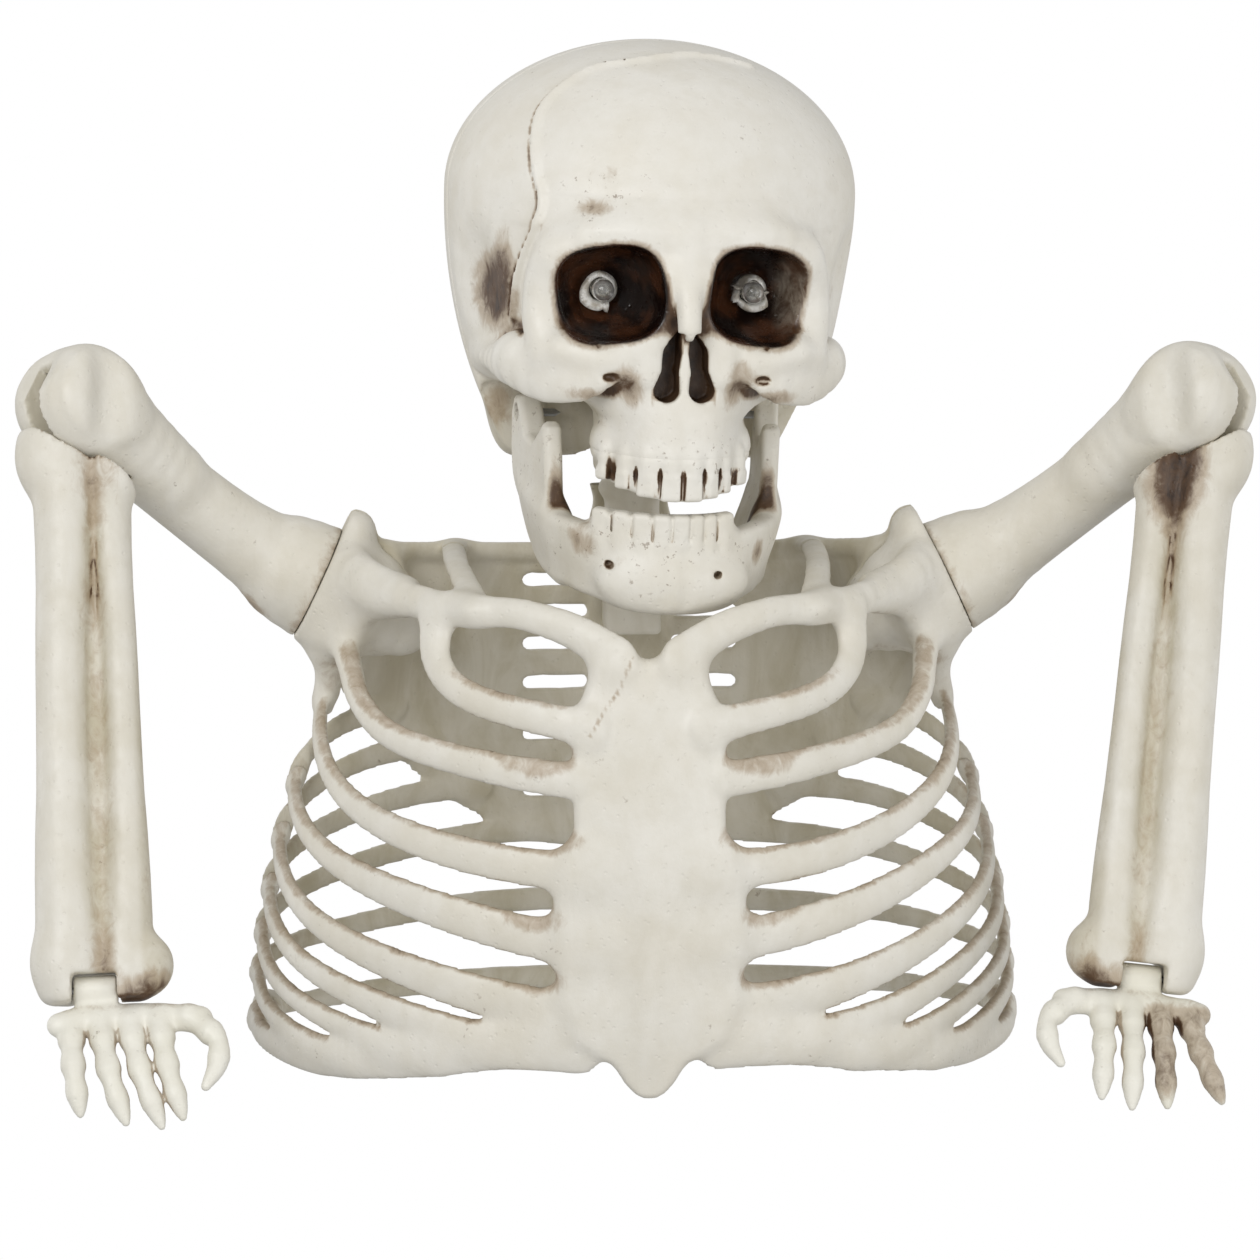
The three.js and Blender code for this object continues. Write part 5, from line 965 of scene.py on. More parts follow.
def forearm_field(upper, palms):
    field = Field((-34, -34, -226), (34, 34, 24), 1.2)
    top, bottom = -9.0, -FOREARM_LENGTH - 5
    add_forearm_bones(field, top, bottom)
    z = field.everywhere()[2]
    field.keep(np.maximum(z - top, bottom - z), 4)
    field.cut(rod((-40, 0, 0), (40, 0, 0), ELBOW_RADIUS + TURN_GAP), 1)
    folded = turned((1, 0, 0), -ELBOW_FOLDED) @ np.array([0, 0, -1.0])
    axes = np.stack([[1, 0, 0], np.cross(folded, [1, 0, 0]), folded], axis=1)
    field.cut(block((-32, -16.5, 0), (32, 16.5, 80), 4, axes), 2)
    half = TONGUE_THICKNESS / 2
    field.add(rod((-half, 0, 0), (half, 0, 0), TONGUE_RADIUS, 1))
    field.add(block((-half, -8, -27), (half, 8, -5), 0.5), 1)
    field.cut(rod((-20, 0, 0), (20, 0, 0), PIN_RADIUS + SEAT_GAP))
    field.cut(block((-8.1, -30, -10.6), (8.1, 30, 5.6), 0.5, hinge_axes, wrist_point), 0.6)
    ends = wide_way * 11.8
    field.cut(rod(wrist_point - ends, wrist_point + ends, WRIST_PIN_RADIUS + SEAT_GAP))
    field.cut(swept(upper, (-34, -34, -60), (34, 34, -8), elbow_places()), 1.5)
    for palm in palms:
        field.cut(swept(palm, wrist_point - (34, 34, 12), wrist_point + (34, 34, 14), wrist_places()), 1)
    return field


def forearm_paint(front, dark):
    """Brown wash and painted shade in the groove between the two bones; front is the way to the viewer, dark
    how brown the top is
    """

    def paint(at):
        points = at.points
        z = points[:, 2]
        across, through = points @ wide_way, points @ thin_way
        # The groove gets brown wash and painted shade
        groove = np.exp(-(((across - 3.6) / 6) ** 2)) * smooth((11.5 - np.abs(through)) / 4)
        groove = np.maximum(groove, 0.6 * smooth((across - 16) / 3) * smooth((-60 - z) / 40))
        groove *= smooth((-18 - z) / 20)
        face = smooth(0.5 + at.normals @ (thin_way * front))
        stain = 0.36 * groove + 0.7 * smooth((at.crease - 0.3) / 0.5)
        for amount, along, near, height, radii in (
            (dark * face, 6, 9, -26.0, (17, 20, 34)),
            (0.5, 19, 0, -24.0, (6, 12, 14)),
            (0.85, 17, 9, -219.0, (16, 22, 13)),
            (0.35, 4, 9, -206.0, (8, 20, 16)),
        ):
            centre = wide_way * along + thin_way * front * near + np.array([0, 0, height])
            stain += amount * spot(points, centre, radii)
        stain += 0.6 * smooth((-218 - z) / 3) * smooth((across + 4) / 6)
        return {"stain": stain, "shade": 0.35 + 0.65 * groove + 0.3 * smooth((at.pit - 0.3) / 0.5)}

    return paint


def add_finger(field, root, length, lean):
    """A finger down from its root, bent forwards, with a swell at each knuckle"""
    tip = np.array([root[0] + lean, root[1] + length * 0.14, root[2] - length])
    middle = (np.array(root) + tip) / 2 + np.array([-lean * 0.12, 3, 0])
    radii = np.array([4.6, 4.9, 5.0, 4.1, 3.7, 4.2, 4.7, 3.9, 3.4, 3.8, 4.2, 3.4, 2.7, 1.5])
    field.add(strand([root, middle, tip], radii, 20), 1.5)


def hand_field(leans, shift):
    """A hand of four fingers and a thumb

    leans says how far each fingertip lies to the thumb's side, shift how far the palm does."""
    field = Field((-38, -14, -60), (52, 22, 8), 0.72)
    barrel_radius = 5
    palm_z = -barrel_radius - 7.1
    field.add(rod((-7.5, 0, 0), (7.5, 0, 0), barrel_radius, 0.6))
    field.add(block((-7.5, -3, palm_z), (7.5, 3, 0), 1), 1.5)
    palm = [
        (shift - 19, 2, palm_z - 1),
        (shift - 6, 0.5, palm_z + 0.5),
        (shift + 6, 0, palm_z + 1),
        (shift + 18, 0.5, palm_z + 0.5),
        (shift + 31, 2, palm_z - 1),
    ]
    field.add(strand(palm, [4.4, 5.2, 5.4, 5.2, 4.6], 12, (0, 1, 0), [3.6, 4, 4, 4, 3.6]), 2)
    for i, (length, lean) in enumerate(zip((35, 39, 41, 38), leans)):
        x = shift - 15 + i * 10.5
        field.add(ellipsoid((x, 0.5, palm_z - 1), (5.2, 4.8, 5.6)), 2)
        add_finger(field, (x, 1, palm_z - 2), length - 2, lean)
    thumb = [
        (shift + 27, 2, palm_z),
        (shift + 33, 3.5, palm_z - 5),
        (shift + 37.5, 5, palm_z - 11),
        (shift + 37, 7, palm_z - 20),
        (shift + 33, 9, palm_z - 28),
    ]
    field.add(strand(thumb, [4.6, 4.2, 4.8, 3.4, 4.1, 3.1, 1.8], 16), 1.5)
    field.cut(rod((-20, 0, 0), (20, 0, 0), WRIST_PIN_RADIUS + SEAT_GAP))
    return field


def hand_paint(side):
    def paint(at):
        x, _, z = at.points.T
        stain = 0.55 * smooth((at.crease - 0.35) / 0.5)
        if side > 0:
            stain += 0.62 * smooth((3 - x) / 8) * smooth((-8 - z) / 6) * smooth((z + 56) / 12)
        stain += 0.35 * smooth((-4 - z) / 4) * smooth((z + 12) / 5)
        return {"stain": stain, "shade": 0.15 + 0.3 * at.pit}

    return paint


def arms(looks):
    upper = humerus_field()
    palms = {name: hand_field(rest["leans"], rest["shift"]) for name, rest in ARM_REST.items()}
    lower = forearm_field(upper, palms.values())
    for name, rest in ARM_REST.items():
        shoulder, elbow, wrist = arm_frames(rest)
        front = -np.sign((elbow[:3, :3] @ thin_way)[1])
        # The forearm's paint, with brown wash and painted shade in its groove
        wash_and_painted_shade = forearm_paint(front, rest["stain"])
        for piece, field, place, paint, limb, node, slot in (
            ("upper_arm_bone_", upper, shoulder, humerus_paint, "_upper_arm", "humerus_", "bone_plastic"),
            ("forearm_bones_", lower, elbow, wash_and_painted_shade, "_forearm", "forearm_", "bone_plastic"),
            ("hand_bones_", palms[name], wrist, hand_paint(rest["side"]), "_hand", "hand_", "hand_plastic"),
        ):
            bone_piece(piece + name, field, place, paint, looks, name + limb, [node + name], slot)


# Head


def case_values(x, y, z, step):
    """The brain case: round in plan, closing faster at the back than at the front"""
    across = x / CASE_HALF_WIDTH
    along = (y - CASE_MIDDLE_Y) / CASE_HALF_DEPTH
    side_fall = (z - 327) / np.where(z > 327, 56.0, 130.0)
    front_fall = (z - 318) / np.where(z > 318, 65.0, 190.0)
    back_fall = (z - 312) / np.where(z > 312, 71.0, 82.0)
    turn = smooth((y + 20) / 40)
    depth_fall = np.sqrt(mix(front_fall**2, back_fall**2, turn))
    square = across**2 + along**2
    fall = (across**2 * side_fall**2 + along**2 * depth_fall**2 + 1e-4) / (square + 1e-4)
    return evened(square + fall - 1, step)


def face_values(x, y, z, step):
    """The face under the forehead, from the palate to the brow"""
    heights = (222, 238, 250, 262, 278, 298, 318, 330)
    widths = np.interp(z, heights, (25.5, 27, 26.5, 30, 43, 49, 46, 36))
    fronts = np.interp(z, heights, (97.6, 98.6, 97.8, 96, 94.5, 93.5, 91, 83))
    back, top = 28, 328
    middle = -(fronts + back) / 2
    across = np.abs(x / widths) ** 2.3
    along = np.abs((y - middle) / ((fronts - back) / 2)) ** 2
    body = soft_most(evened(across + along - 1, step), z - top, 6)
    edge = TEETH_EDGE + UPPER_TEETH["lift"] * x * x
    return soft_most(body, edge - z, 2.2)


# Middle lines of the bars of bone that the face is built of; all but the bridge are on the +X side
BROW = ((6, -88, 317), (20, -88, 317.5), (34, -85.5, 315.5), (45, -79, 308))
BESIDE_NOSE = ((6.5, -92.5, 303), (10, -91.5, 291), (13.5, -91.5, 279), (14.5, -91.5, 268))
SIDE_RIM = ((46, -77, 310), (49.5, -74.5, 300), (50.5, -74.5, 286), (48, -79, 274))
LOWER_RIM = ((14, -88, 277), (28, -89.5, 273.5), (42, -84.5, 275.5))
BRIDGE = ((0, -90, 318), (0, -93, 307), (0, -97.5, 296), (0, -101, 285))
CHEEK = ((25, -89, 270), (36, -86, 266.5), (48, -79, 266), (57.5, -67, 268), (62, -47, 268), (63, -24, 266))


def skull_bones(field):
    x, y, z = field.everywhere()
    case = case_values(x, y, z, field.step)
    floor = np.maximum(BASE_LIP - z, np.minimum(257 - z, SEAM_Y - y))
    case = soft_most(case, floor, 5)
    field.values = soft_least(case, face_values(x, y, z, field.step), 12).astype(np.float32)
    field.add(both_sides(strand(BROW, (3.6, 4, 4, 3.4), 8)), 12)
    field.add(strand(BRIDGE, (6, 5, 4.6, 4.2), 8, (0, -1, 0), (5, 4, 4.2, 4)), 4)
    field.add(both_sides(strand(BESIDE_NOSE, (4.2, 4.4, 4.4, 4), 10)), 6)
    field.add(both_sides(strand(SIDE_RIM, (3, 4.2, 5.6, 6.2), 10)), 11)
    field.add(both_sides(strand(LOWER_RIM, (4.5, 4.5, 6), 8)), 5)
    cheek = strand(CHEEK, (5, 9.5, 10.5, 8.5, 5.4, 5), 14, (0.5, -0.8, 0), (4, 4.6, 4.8, 4.4, 3.4, 3.2))
    field.add(both_sides(cheek), 4)
    field.add(both_sides(ellipsoid((57, -64, 271), (6.5, 9, 8))), 5)
    behind_teeth = ellipsoid((25.5, -71, 240), (3.6, 9, 6))
    field.add(both_sides(behind_teeth), 5)


# Rows of teeth: front, how they curve back, necks, biting edge and its lift, the slits' depth and width,
# and where each slit is
UPPER_TEETH = {
    "front": -99.2, "curve": 0.026, "neck": 232.5, "edge": TEETH_EDGE, "lift": 0.0085,
    "deep": 1.6, "wide": 0.72,
    "gaps": (-28.5, -22.8, -16, -8, 0.2, 8, 14.2, 19.3, 26.5),
}
LOWER_TEETH = {
    "front": -98.0, "curve": 0.0135, "neck": 217.5, "edge": 225.5, "lift": 0.0,
    "deep": 1.0, "wide": 0.42,
    "gaps": (-30, -23.5, -16.6, -9.3, -2.4, 4.5, 9.6, 14.5, 21),
}


def add_teeth(field, row):
    """Each tooth stands a little proud of the jaw that it grows from, and swells at its root"""
    up = np.sign(row["neck"] - row["edge"])
    for left, right in zip(row["gaps"], row["gaps"][1:]):
        x = (left + right) / 2
        half = (right - left) / 2 - 0.2
        edge = row["edge"] + row["lift"] * x * x
        y = row["front"] + row["curve"] * x * x + 2.6
        turn = turned((0, 0, 1), math.degrees(math.atan(2 * row["curve"] * x)))
        tall = abs(row["neck"] - edge) / 2
        middle = (row["neck"] + edge) / 2
        field.add(block((-half, -2.6, -tall), (half, 2.6, tall), 1.6, turn, (x, y, middle)), 0.8)
        field.add(ellipsoid((x, y, row["neck"] + up * 3), (half * 0.8, 3.0, 6)), 2.5)


def cut_tooth_gaps(field, row):
    """Slits between the teeth: open at the necks, closing towards the edge"""
    up = np.sign(row["neck"] - row["edge"])
    for x in row["gaps"][1:-1]:
        y = row["front"] + row["curve"] * x * x
        end = mix(row["edge"] + row["lift"] * x * x, row["neck"], 0.12)
        slit = [(x, y + 0.3, row["neck"] + 1.5 * up), (x, y + 0.2, row["neck"] - up), (x, y + 0.1, end)]
        field.cut(strand(slit, [0.7, row["deep"], 0.8], 7, (1, 0, 0), [0.3, row["wide"], 0.28]), 0.5)


def into_orbit(x, y, z):
    """0 at the middle of the socket on the +X side, 1 on its wall: a rounded square hollow"""
    turn = turned((0, 1, 0), 8)
    px, py, pz = x - ORBIT[0], y - ORBIT[1], z - ORBIT[2]
    a = turn[0, 0] * px + turn[2, 0] * pz
    c = turn[0, 2] * px + turn[2, 2] * pz
    half_width, half_depth, half_height = ORBIT_RADII
    squareness = 2.8
    ring = (np.abs(a / half_width) ** squareness + np.abs(c / half_height) ** squareness) ** (2 / squareness)
    return np.sqrt(ring + (py / half_depth) ** 2)


def orbit():
    def distance(x, y, z):
        return (into_orbit(x, y, z) - 1) * ORBIT_RADII[2]

    reach = np.array([23.0, 29.0, 21.0])
    return ORBIT - reach, ORBIT + reach, distance


def nostril():
    """One half of the nose's opening, drawn in the face's plane and cut straight in"""
    path = along_curve([(2.4, 283), (4.7, 276), (5.3, 269), (6.3, 262.6)], 10)
    size = spread([0.9, 3.4, 3.1, 4.7], 10)
    back = -84.0

    def distance(x, y, z):
        flat = np.full(np.broadcast_shapes(x.shape, z.shape), FAR, np.float32)
        for start, end, first, last in zip(path, path[1:], size, size[1:]):
            away, t = from_segment(x, z, start, end)
            flat = np.minimum(flat, away - mix(first, last, t))
        return np.maximum(flat, y - back)

    return np.array([-1.0, -115, 254]), np.array([13.0, back, 288]), distance


SCREWS = {
    "skull_screw_left": ((-58, -2, 262), (-58, -22, 262)),
    "skull_screw_right": ((58, -2, 262), (58, -22, 262)),
    "jaw_screw_left": ((-48.5, -20, 244), (-33, -20, 244)),
    "jaw_screw_right": ((48.5, -20, 244), (33, -20, 244)),
    "door_screw": ((0, 68.3, 282.15), (0, 58, 282.15)),
}

# Each room in the back of the head: its middle's way across, half width, half height, front, back, rounding
BACK_ROOMS = {
    "door": (0, 16.6, 33.45, 63.7, 80, 0.6),
    "battery_bay": (0, 13.3, 27.2, 46, 80, 0),
    "switch": (23, 2.3, 5.3, 58, 80, 0),
    "switch_foot": (23, 4, 11, 55, 61, 0),
}

SEAM_LINE = (
    (30, -31, 376), (8, -34.3, 379), (-13.5, -40.2, 376.5), (-27.6, -39.1, 373.6), (-39.7, -42.5, 366.9),
    (-49, -47.7, 357.6), (-52.4, -55.6, 346.9), (-52, -63.2, 334.6), (-50.5, -67.4, 326), (-53, -67, 317),
    (-57, -62, 304.4), (-58.5, -58, 293.7), (-58.5, -55, 284),
)


def onto_skin(field, points):
    """Points moved onto the skin of a field"""
    points = np.array(points, float)
    for _ in range(4):
        here = field.sample(points)
        slope = np.stack([field.sample(points + e) - field.sample(points - e) for e in np.eye(3)], axis=1) / 2
        points = points - slope * (here / np.maximum((slope**2).sum(axis=1), 0.05))[:, None]
    return points


def mouth_roof():
    """The hollow behind the upper teeth"""

    def distance(x, y, z):
        arch = (np.abs(x / 20.5) ** 2.3 + np.abs((y + 58) / 33.5) ** 2.3) ** (1 / 2.3) - 1
        return np.maximum(arch * 20.5, z - 236)

    return np.array([-21.0, -92, 215]), np.array([21.0, -24, 236]), distance


def cut_openings(field):
    """Sockets and nose, nicks in the sockets' lower rims, and the small openings under them"""
    field.cut(both_sides(orbit()), 1.1)
    field.cut(both_sides(nostril()), 0.8)
    for centre, radii, blend in (
        ((-30.7, -95, 278.5), (0.9, 6, 2.6), 0.8),
        ((29.7, -95, 278.5), (0.9, 6, 2.6), 0.8),
        ((-26.5, -95, 266.5), (3.4, 5, 1.7), 1),
        ((29.2, -95, 265.8), (3.6, 5, 1.9), 1),
        ((43, -92, 262), (1.3, 4, 1.6), 1),
        ((-44, -91, 258.5), (0.9, 3, 0.9), 1),
    ):
        field.cut(ellipsoid(centre, radii), blend)
    fissure = ((21, -98, 278), (22, -97, 270), (24, -96, 262), (29, -92, 256))
    field.cut(both_sides(strand(fissure, (1.6, 2.2, 2.4, 1.8), 8)), 3)


def cut_rooms(field):
    """Rooms for the neck, the washer, the jaw, screws, lamps, their leads and the battery bay"""
    field.cut(neck_rod(215, 241.2, 16), 1.5)
    field.cut(neck_rod(232, 246, POST_PIN_RADIUS + TURN_GAP))
    field.cut(neck_rod(POST_TOP, 252, 12.2))
    ear_room = block((38, -31, 215), (62, -8.2, 254.5), 3)
    field.cut(both_sides(ear_room), 1)
    for head, tip in SCREWS.values():
        field.cut(screw_hole(head, tip))
    lamp_tip = np.array([ORBIT[0], LED_TIP_Y, ORBIT[2]])
    field.cut(both_sides(rod(lamp_tip, lamp_tip + (0, 17, 0), LED_RADIUS + SEAT_GAP)))
    lead = ((27.5, -64.7, 296), (27.5, -52.7, 297), (22, -10, 306), (9, 25, 320), (4, 44, 319), (4, 50, 318))
    field.cut(both_sides(strand(lead, (2.4, 2.4), 18)))
    for across, half_width, half_height, front, back, rounding in BACK_ROOMS.values():
        low = (across - half_width, front, BAY_Z - half_height)
        field.cut(block(low, (across + half_width, back, BAY_Z + half_height), rounding))


def finish_skull(field):
    """Temples, seam line, teeth, openings and the rooms for what the skull carries"""
    field.cut(both_sides(ellipsoid((87, -47, 293), (24, 26, 30))), 7)
    steps = 70
    line = onto_skin(field, along_curve(SEAM_LINE, steps))
    bead = onto_skin(field, line + np.array([1.6, -1.0, 0.4]))
    field.add(strand(bead, [1.4, 1.55, 1.45, 1.1], steps), 2.2)
    field.cut(strand(line, [0.7, 0.75, 0.7, 0.5], steps), 0.8)
    add_teeth(field, UPPER_TEETH)
    cut_tooth_gaps(field, UPPER_TEETH)
    field.cut(mouth_roof(), 2)
    cut_openings(field)
    cut_rooms(field)


def face_paint(at):
    points = at.points
    x, y, z = points.T
    side = np.abs(x)
    depth = into_orbit(side, y, z)
    socket = smooth((1.07 - depth) / 0.05)
    nose = smooth((12.5 - side) / 1.5) * smooth((y + 95.5) / 2)
    nose *= smooth((z - 255) / 2) * smooth((287 - z) / 2)
    dry = 0.8 * spot(points, (46, -82, 296), (17, 26, 26)) * (x > 0)
    wet = socket * (1 - dry)
    stain = 0.9 * smooth((at.crease - 0.22) / 0.5) + 0.25 * smooth((at.pit - 0.45) / 0.4)
    stain += 0.58 * smooth((1.24 - depth) / 0.2)
    temple = with_spots(0, points, ((1, (-63, -46, 292), (28, 30, 24)), (0.8, (-57, -52, 309), (9, 12, 18))))
    stain += 1.2 * temple * smooth((y + 66) / 8)
    beside_nose = spot(np.stack([side, y, z], axis=1), (9, -95, 292), (7, 10, 15))
    stain += 0.85 * smooth((side - 4) / 4) * beside_nose
    stain += 0.8 * smooth((at.crease - 0.1) / 0.4) * smooth((237 - z) / 4)
    stain = with_spots(
        stain,
        points,
        (
            (0.5, (66, -46, 293), (18, 22, 16)),
            (0.85, (-20, -92, 264), (11, 12, 16)),
            (0.8, (-34, -86, 260), (15, 12, 6)),
            (0.8, (20, -92, 264), (11, 12, 16)),
            (0.8, (34, -86, 260), (15, 12, 6)),
            (0.4, (-26.5, -93, 266.5), (7, 8, 4)),
            (0.7, (29.2, -93, 266), (5, 8, 3.6)),
            (0.34, (-30, -80, 338), (18, 20, 8)),
            (0.55, (-33, -82, 326), (10, 16, 6)),
        ),
    )
    stain = np.maximum(stain, 0.95 * wet)
    stain = np.maximum(stain, 0.8 * socket)
    stain = np.maximum(stain, 1.15 * nose)
    grime = 0.15 + 0.3 * smooth((262 - z) / 20) + 1.5 * spot(points, (-30, -84, 333), (26, 20, 18))
    under = smooth((262 - z) / 8) * smooth((y + 78) / 10)
    shade = 0.1 + 0.7 * under + 0.2 * smooth((at.pit - 0.3) / 0.5)
    return {"stain": stain, "wet": wet, "shade": shade, "grime": grime}


def cranium_paint(at):
    _, y, z = at.points.T
    stain = 0.7 * smooth((at.crease - 0.3) / 0.5)
    stain += 0.7 * spot(at.points, (-55, -8, 246), (10, 12, 18))
    below = smooth((258 - z) / 10) * smooth((20 - y) / 30)
    return {"stain": stain, "shade": 0.08 + 0.75 * below}


def base_knobs(field):
    """The knobs behind the jaw's hinges, and the hollow between them"""
    field.add(both_sides(ellipsoid((47, 4, 240), (9, 11, 15))), 7)
    field.cut(ellipsoid((0, 18, 222), (34, 40, 13)), 6)


def skull_field(low, high, step):
    field = Field(low, high, step)
    skull_bones(field)
    base_knobs(field)
    finish_skull(field)
    return field


def skull(looks):
    """The face, its upper teeth in a finer grid, and the brain case behind the seam

    Face and teeth each reach a little into the other, drawn in so that the end stays hidden there."""
    teeth_top, reach, drawn_in = 238.0, 1.5, np.float32(0.6)
    for name, low, high, step, side in (
        ("face_bones", (-84, -110, 234), (84, -9, 392), 1.0, 1),
        ("upper_teeth", (-36, -108, 214), (36, -20, 242), 0.5, -1),
    ):
        face = skull_field(low, high, step)
        _, y, z = face.everywhere()
        face.keep(y - SEAM_Y + SEAT_GAP / 2)
        within = (z - teeth_top) * side
        face.values += drawn_in * smooth(0.5 - within / (2 * reach))
        face.keep(-within - reach)
        node = ["skull_face"] if side > 0 else []
        bone_piece(name, face, HEAD, face_paint, looks, "head", node)
    case = skull_field((-84, -14, 214), (84, 74, 392), 1.3)
    y = case.everywhere()[1]
    case.keep(np.maximum(SEAM_Y + SEAT_GAP / 2 - y, y - BAY_FACE_Y))
    bone_piece("brain_case_back", case, HEAD, cranium_paint, looks, "head", ["skull_cranium"])


JAW_CHIN = 190.5
JAW_TEETH_TOP = 225.5


def jaw_wall(x, y, z, step):
    """The arch of the jaw: round at the chin, straight at the sides, leaning outwards as it rises"""
    half_width = 42.5 * mix(0.86, 1.03, smooth((z - JAW_CHIN) / 34))
    bend = np.minimum(y + 38, 0)
    plan = (np.abs(x / half_width) ** 2.2 + np.abs(bend / 55.0) ** 2.2) ** (1 / 2.2)
    across = evened(plan - 1, step)
    thick = mix(5.2, 4.4, smooth((z - 205) / 16))
    rounding = mix(3.6, 2.2, smooth((z - 200) / 16))
    return rounded(rounding, np.abs(across) - thick, np.maximum(JAW_CHIN - z, z - JAW_TEETH_TOP))


def jaw_field():
    field = Field((-56, -108, 185), (56, -9, 256), 0.64)
    x, y, z = field.everywhere()
    past_teeth = np.maximum(-x - 25, x - 18.5)
    low_sides = z - mix(JAW_TEETH_TOP, 218, smooth(past_teeth / 6))
    wall = soft_most(jaw_wall(x, y, z, field.step), np.maximum(y + 30, low_sides), 4)
    field.values = wall.astype(np.float32)
    field.add(ellipsoid((0, -91.5, 199.5), (27, 9.5, 11)), 8)
    field.add(both_sides(ramus()), 7)
    add_teeth(field, LOWER_TEETH)
    cut_tooth_gaps(field, LOWER_TEETH)
    for across in (-3, 2.4):
        crease = [(across, -101.5, 212), (across * 1.3, -103.8, 203), (across * 1.5, -102.6, 193)]
        field.cut(strand(crease, [1.2, 1.4, 1.2], 8), 3.5)
    for across, height in ((-24, 206), (15, 204)):
        front = -101 + LOWER_TEETH["curve"] * across * across
        field.cut(ellipsoid((across, front, height), (1.6, 4, 1.4)), 0.8)
    field.cut(both_sides(screw_hole(*SCREWS["jaw_screw_right"])))
    return field


# Outline of the jaw's upright branch seen from the side, as y and z from the hinge
RAMUS_OUTLINE = (
    (-44, -38), (-40, -18), (-36.5, -4), (-34, 3), (-31, 4.5), (-27, 0.5), (-20, -6), (-12, -5), (-7, 2),
    (-2, 7), (4, 6), (7, -1), (5.5, -14), (1, -29), (-6, -41), (-16, -49), (-29, -52), (-42, -53),
)


def ramus():
    """One upright branch: a plate with a rounded outline, from the front horn to the knuckle"""

    def distance(x, y, z):
        py, pz = y - HINGE[1], z - HINGE[2]
        away = np.full(np.broadcast_shapes(py.shape, pz.shape), FAR, np.float32)
        inside = np.zeros(away.shape, bool)
        for a, b in zip(RAMUS_OUTLINE, RAMUS_OUTLINE[1:] + RAMUS_OUTLINE[:1]):
            away = np.minimum(away, from_segment(py, pz, a, b)[0])
            rise = (b[1] - a[1]) or 1e-9
            at = a[0] + (pz - a[1]) * (b[0] - a[0]) / rise
            inside ^= ((a[1] <= pz) != (b[1] <= pz)) & (py < at)
        flat = np.where(inside, -away, away)
        middle = mix(39.6, 45.4, np.clip((y + 62) / 42, 0, 1.2)) - 6 * smooth((224 - z) / 32)
        thick = mix(3.4, 4.6, smooth((y + 62) / 40))
        return rounded(2.4, np.abs(x - middle) - thick, flat)

    return np.array([28.0, -66, 190]), np.array([54.0, -10, 253]), distance


def jaw_paint(at):
    x, y, z = at.points.T
    side = np.abs(x)
    inner = smooth((37.5 - side) / 4) * smooth((y + 78) / 8)
    stain = 0.5 * smooth((at.crease - 0.3) / 0.5) + 0.2 * smooth((at.pit - 0.5) / 0.4)
    front_edge = np.exp(-(((y + 61.5) / 3.5) ** 2)) * smooth((z - 205) / 8) * smooth((45 - side) / 5)
    stain += 1.2 * front_edge
    stain = with_spots(
        stain,
        at.points,
        (
            (0.75, (-30, -80, 212), (13, 15, 12)),
            (0.4, (-18, -92, 207), (14, 10, 12)),
            (1.1, (31, -80, 209), (6, 10, 10)),
        ),
    )
    grime = 0.2 + 0.4 * smooth((z - 198) / 10) + 0.7 * spot(at.points, (-26, -84, 212), (16, 18, 16))
    return {"stain": stain, "grime": grime, "shade": 0.25 + 0.6 * inner + 0.2 * smooth((at.pit - 0.3) / 0.5)}


def jaw(looks):
    bone_piece("jaw_bone", jaw_field(), JAW, jaw_paint, looks, "jaw", ["mandible"])


# Materials


def screen_tone(level):
    """A screen colour's level out of 255 as the shader's own"""
    return level / 255 / 12.92 if level <= 10 else ((level / 255 + 0.055) / 1.055) ** 2.4


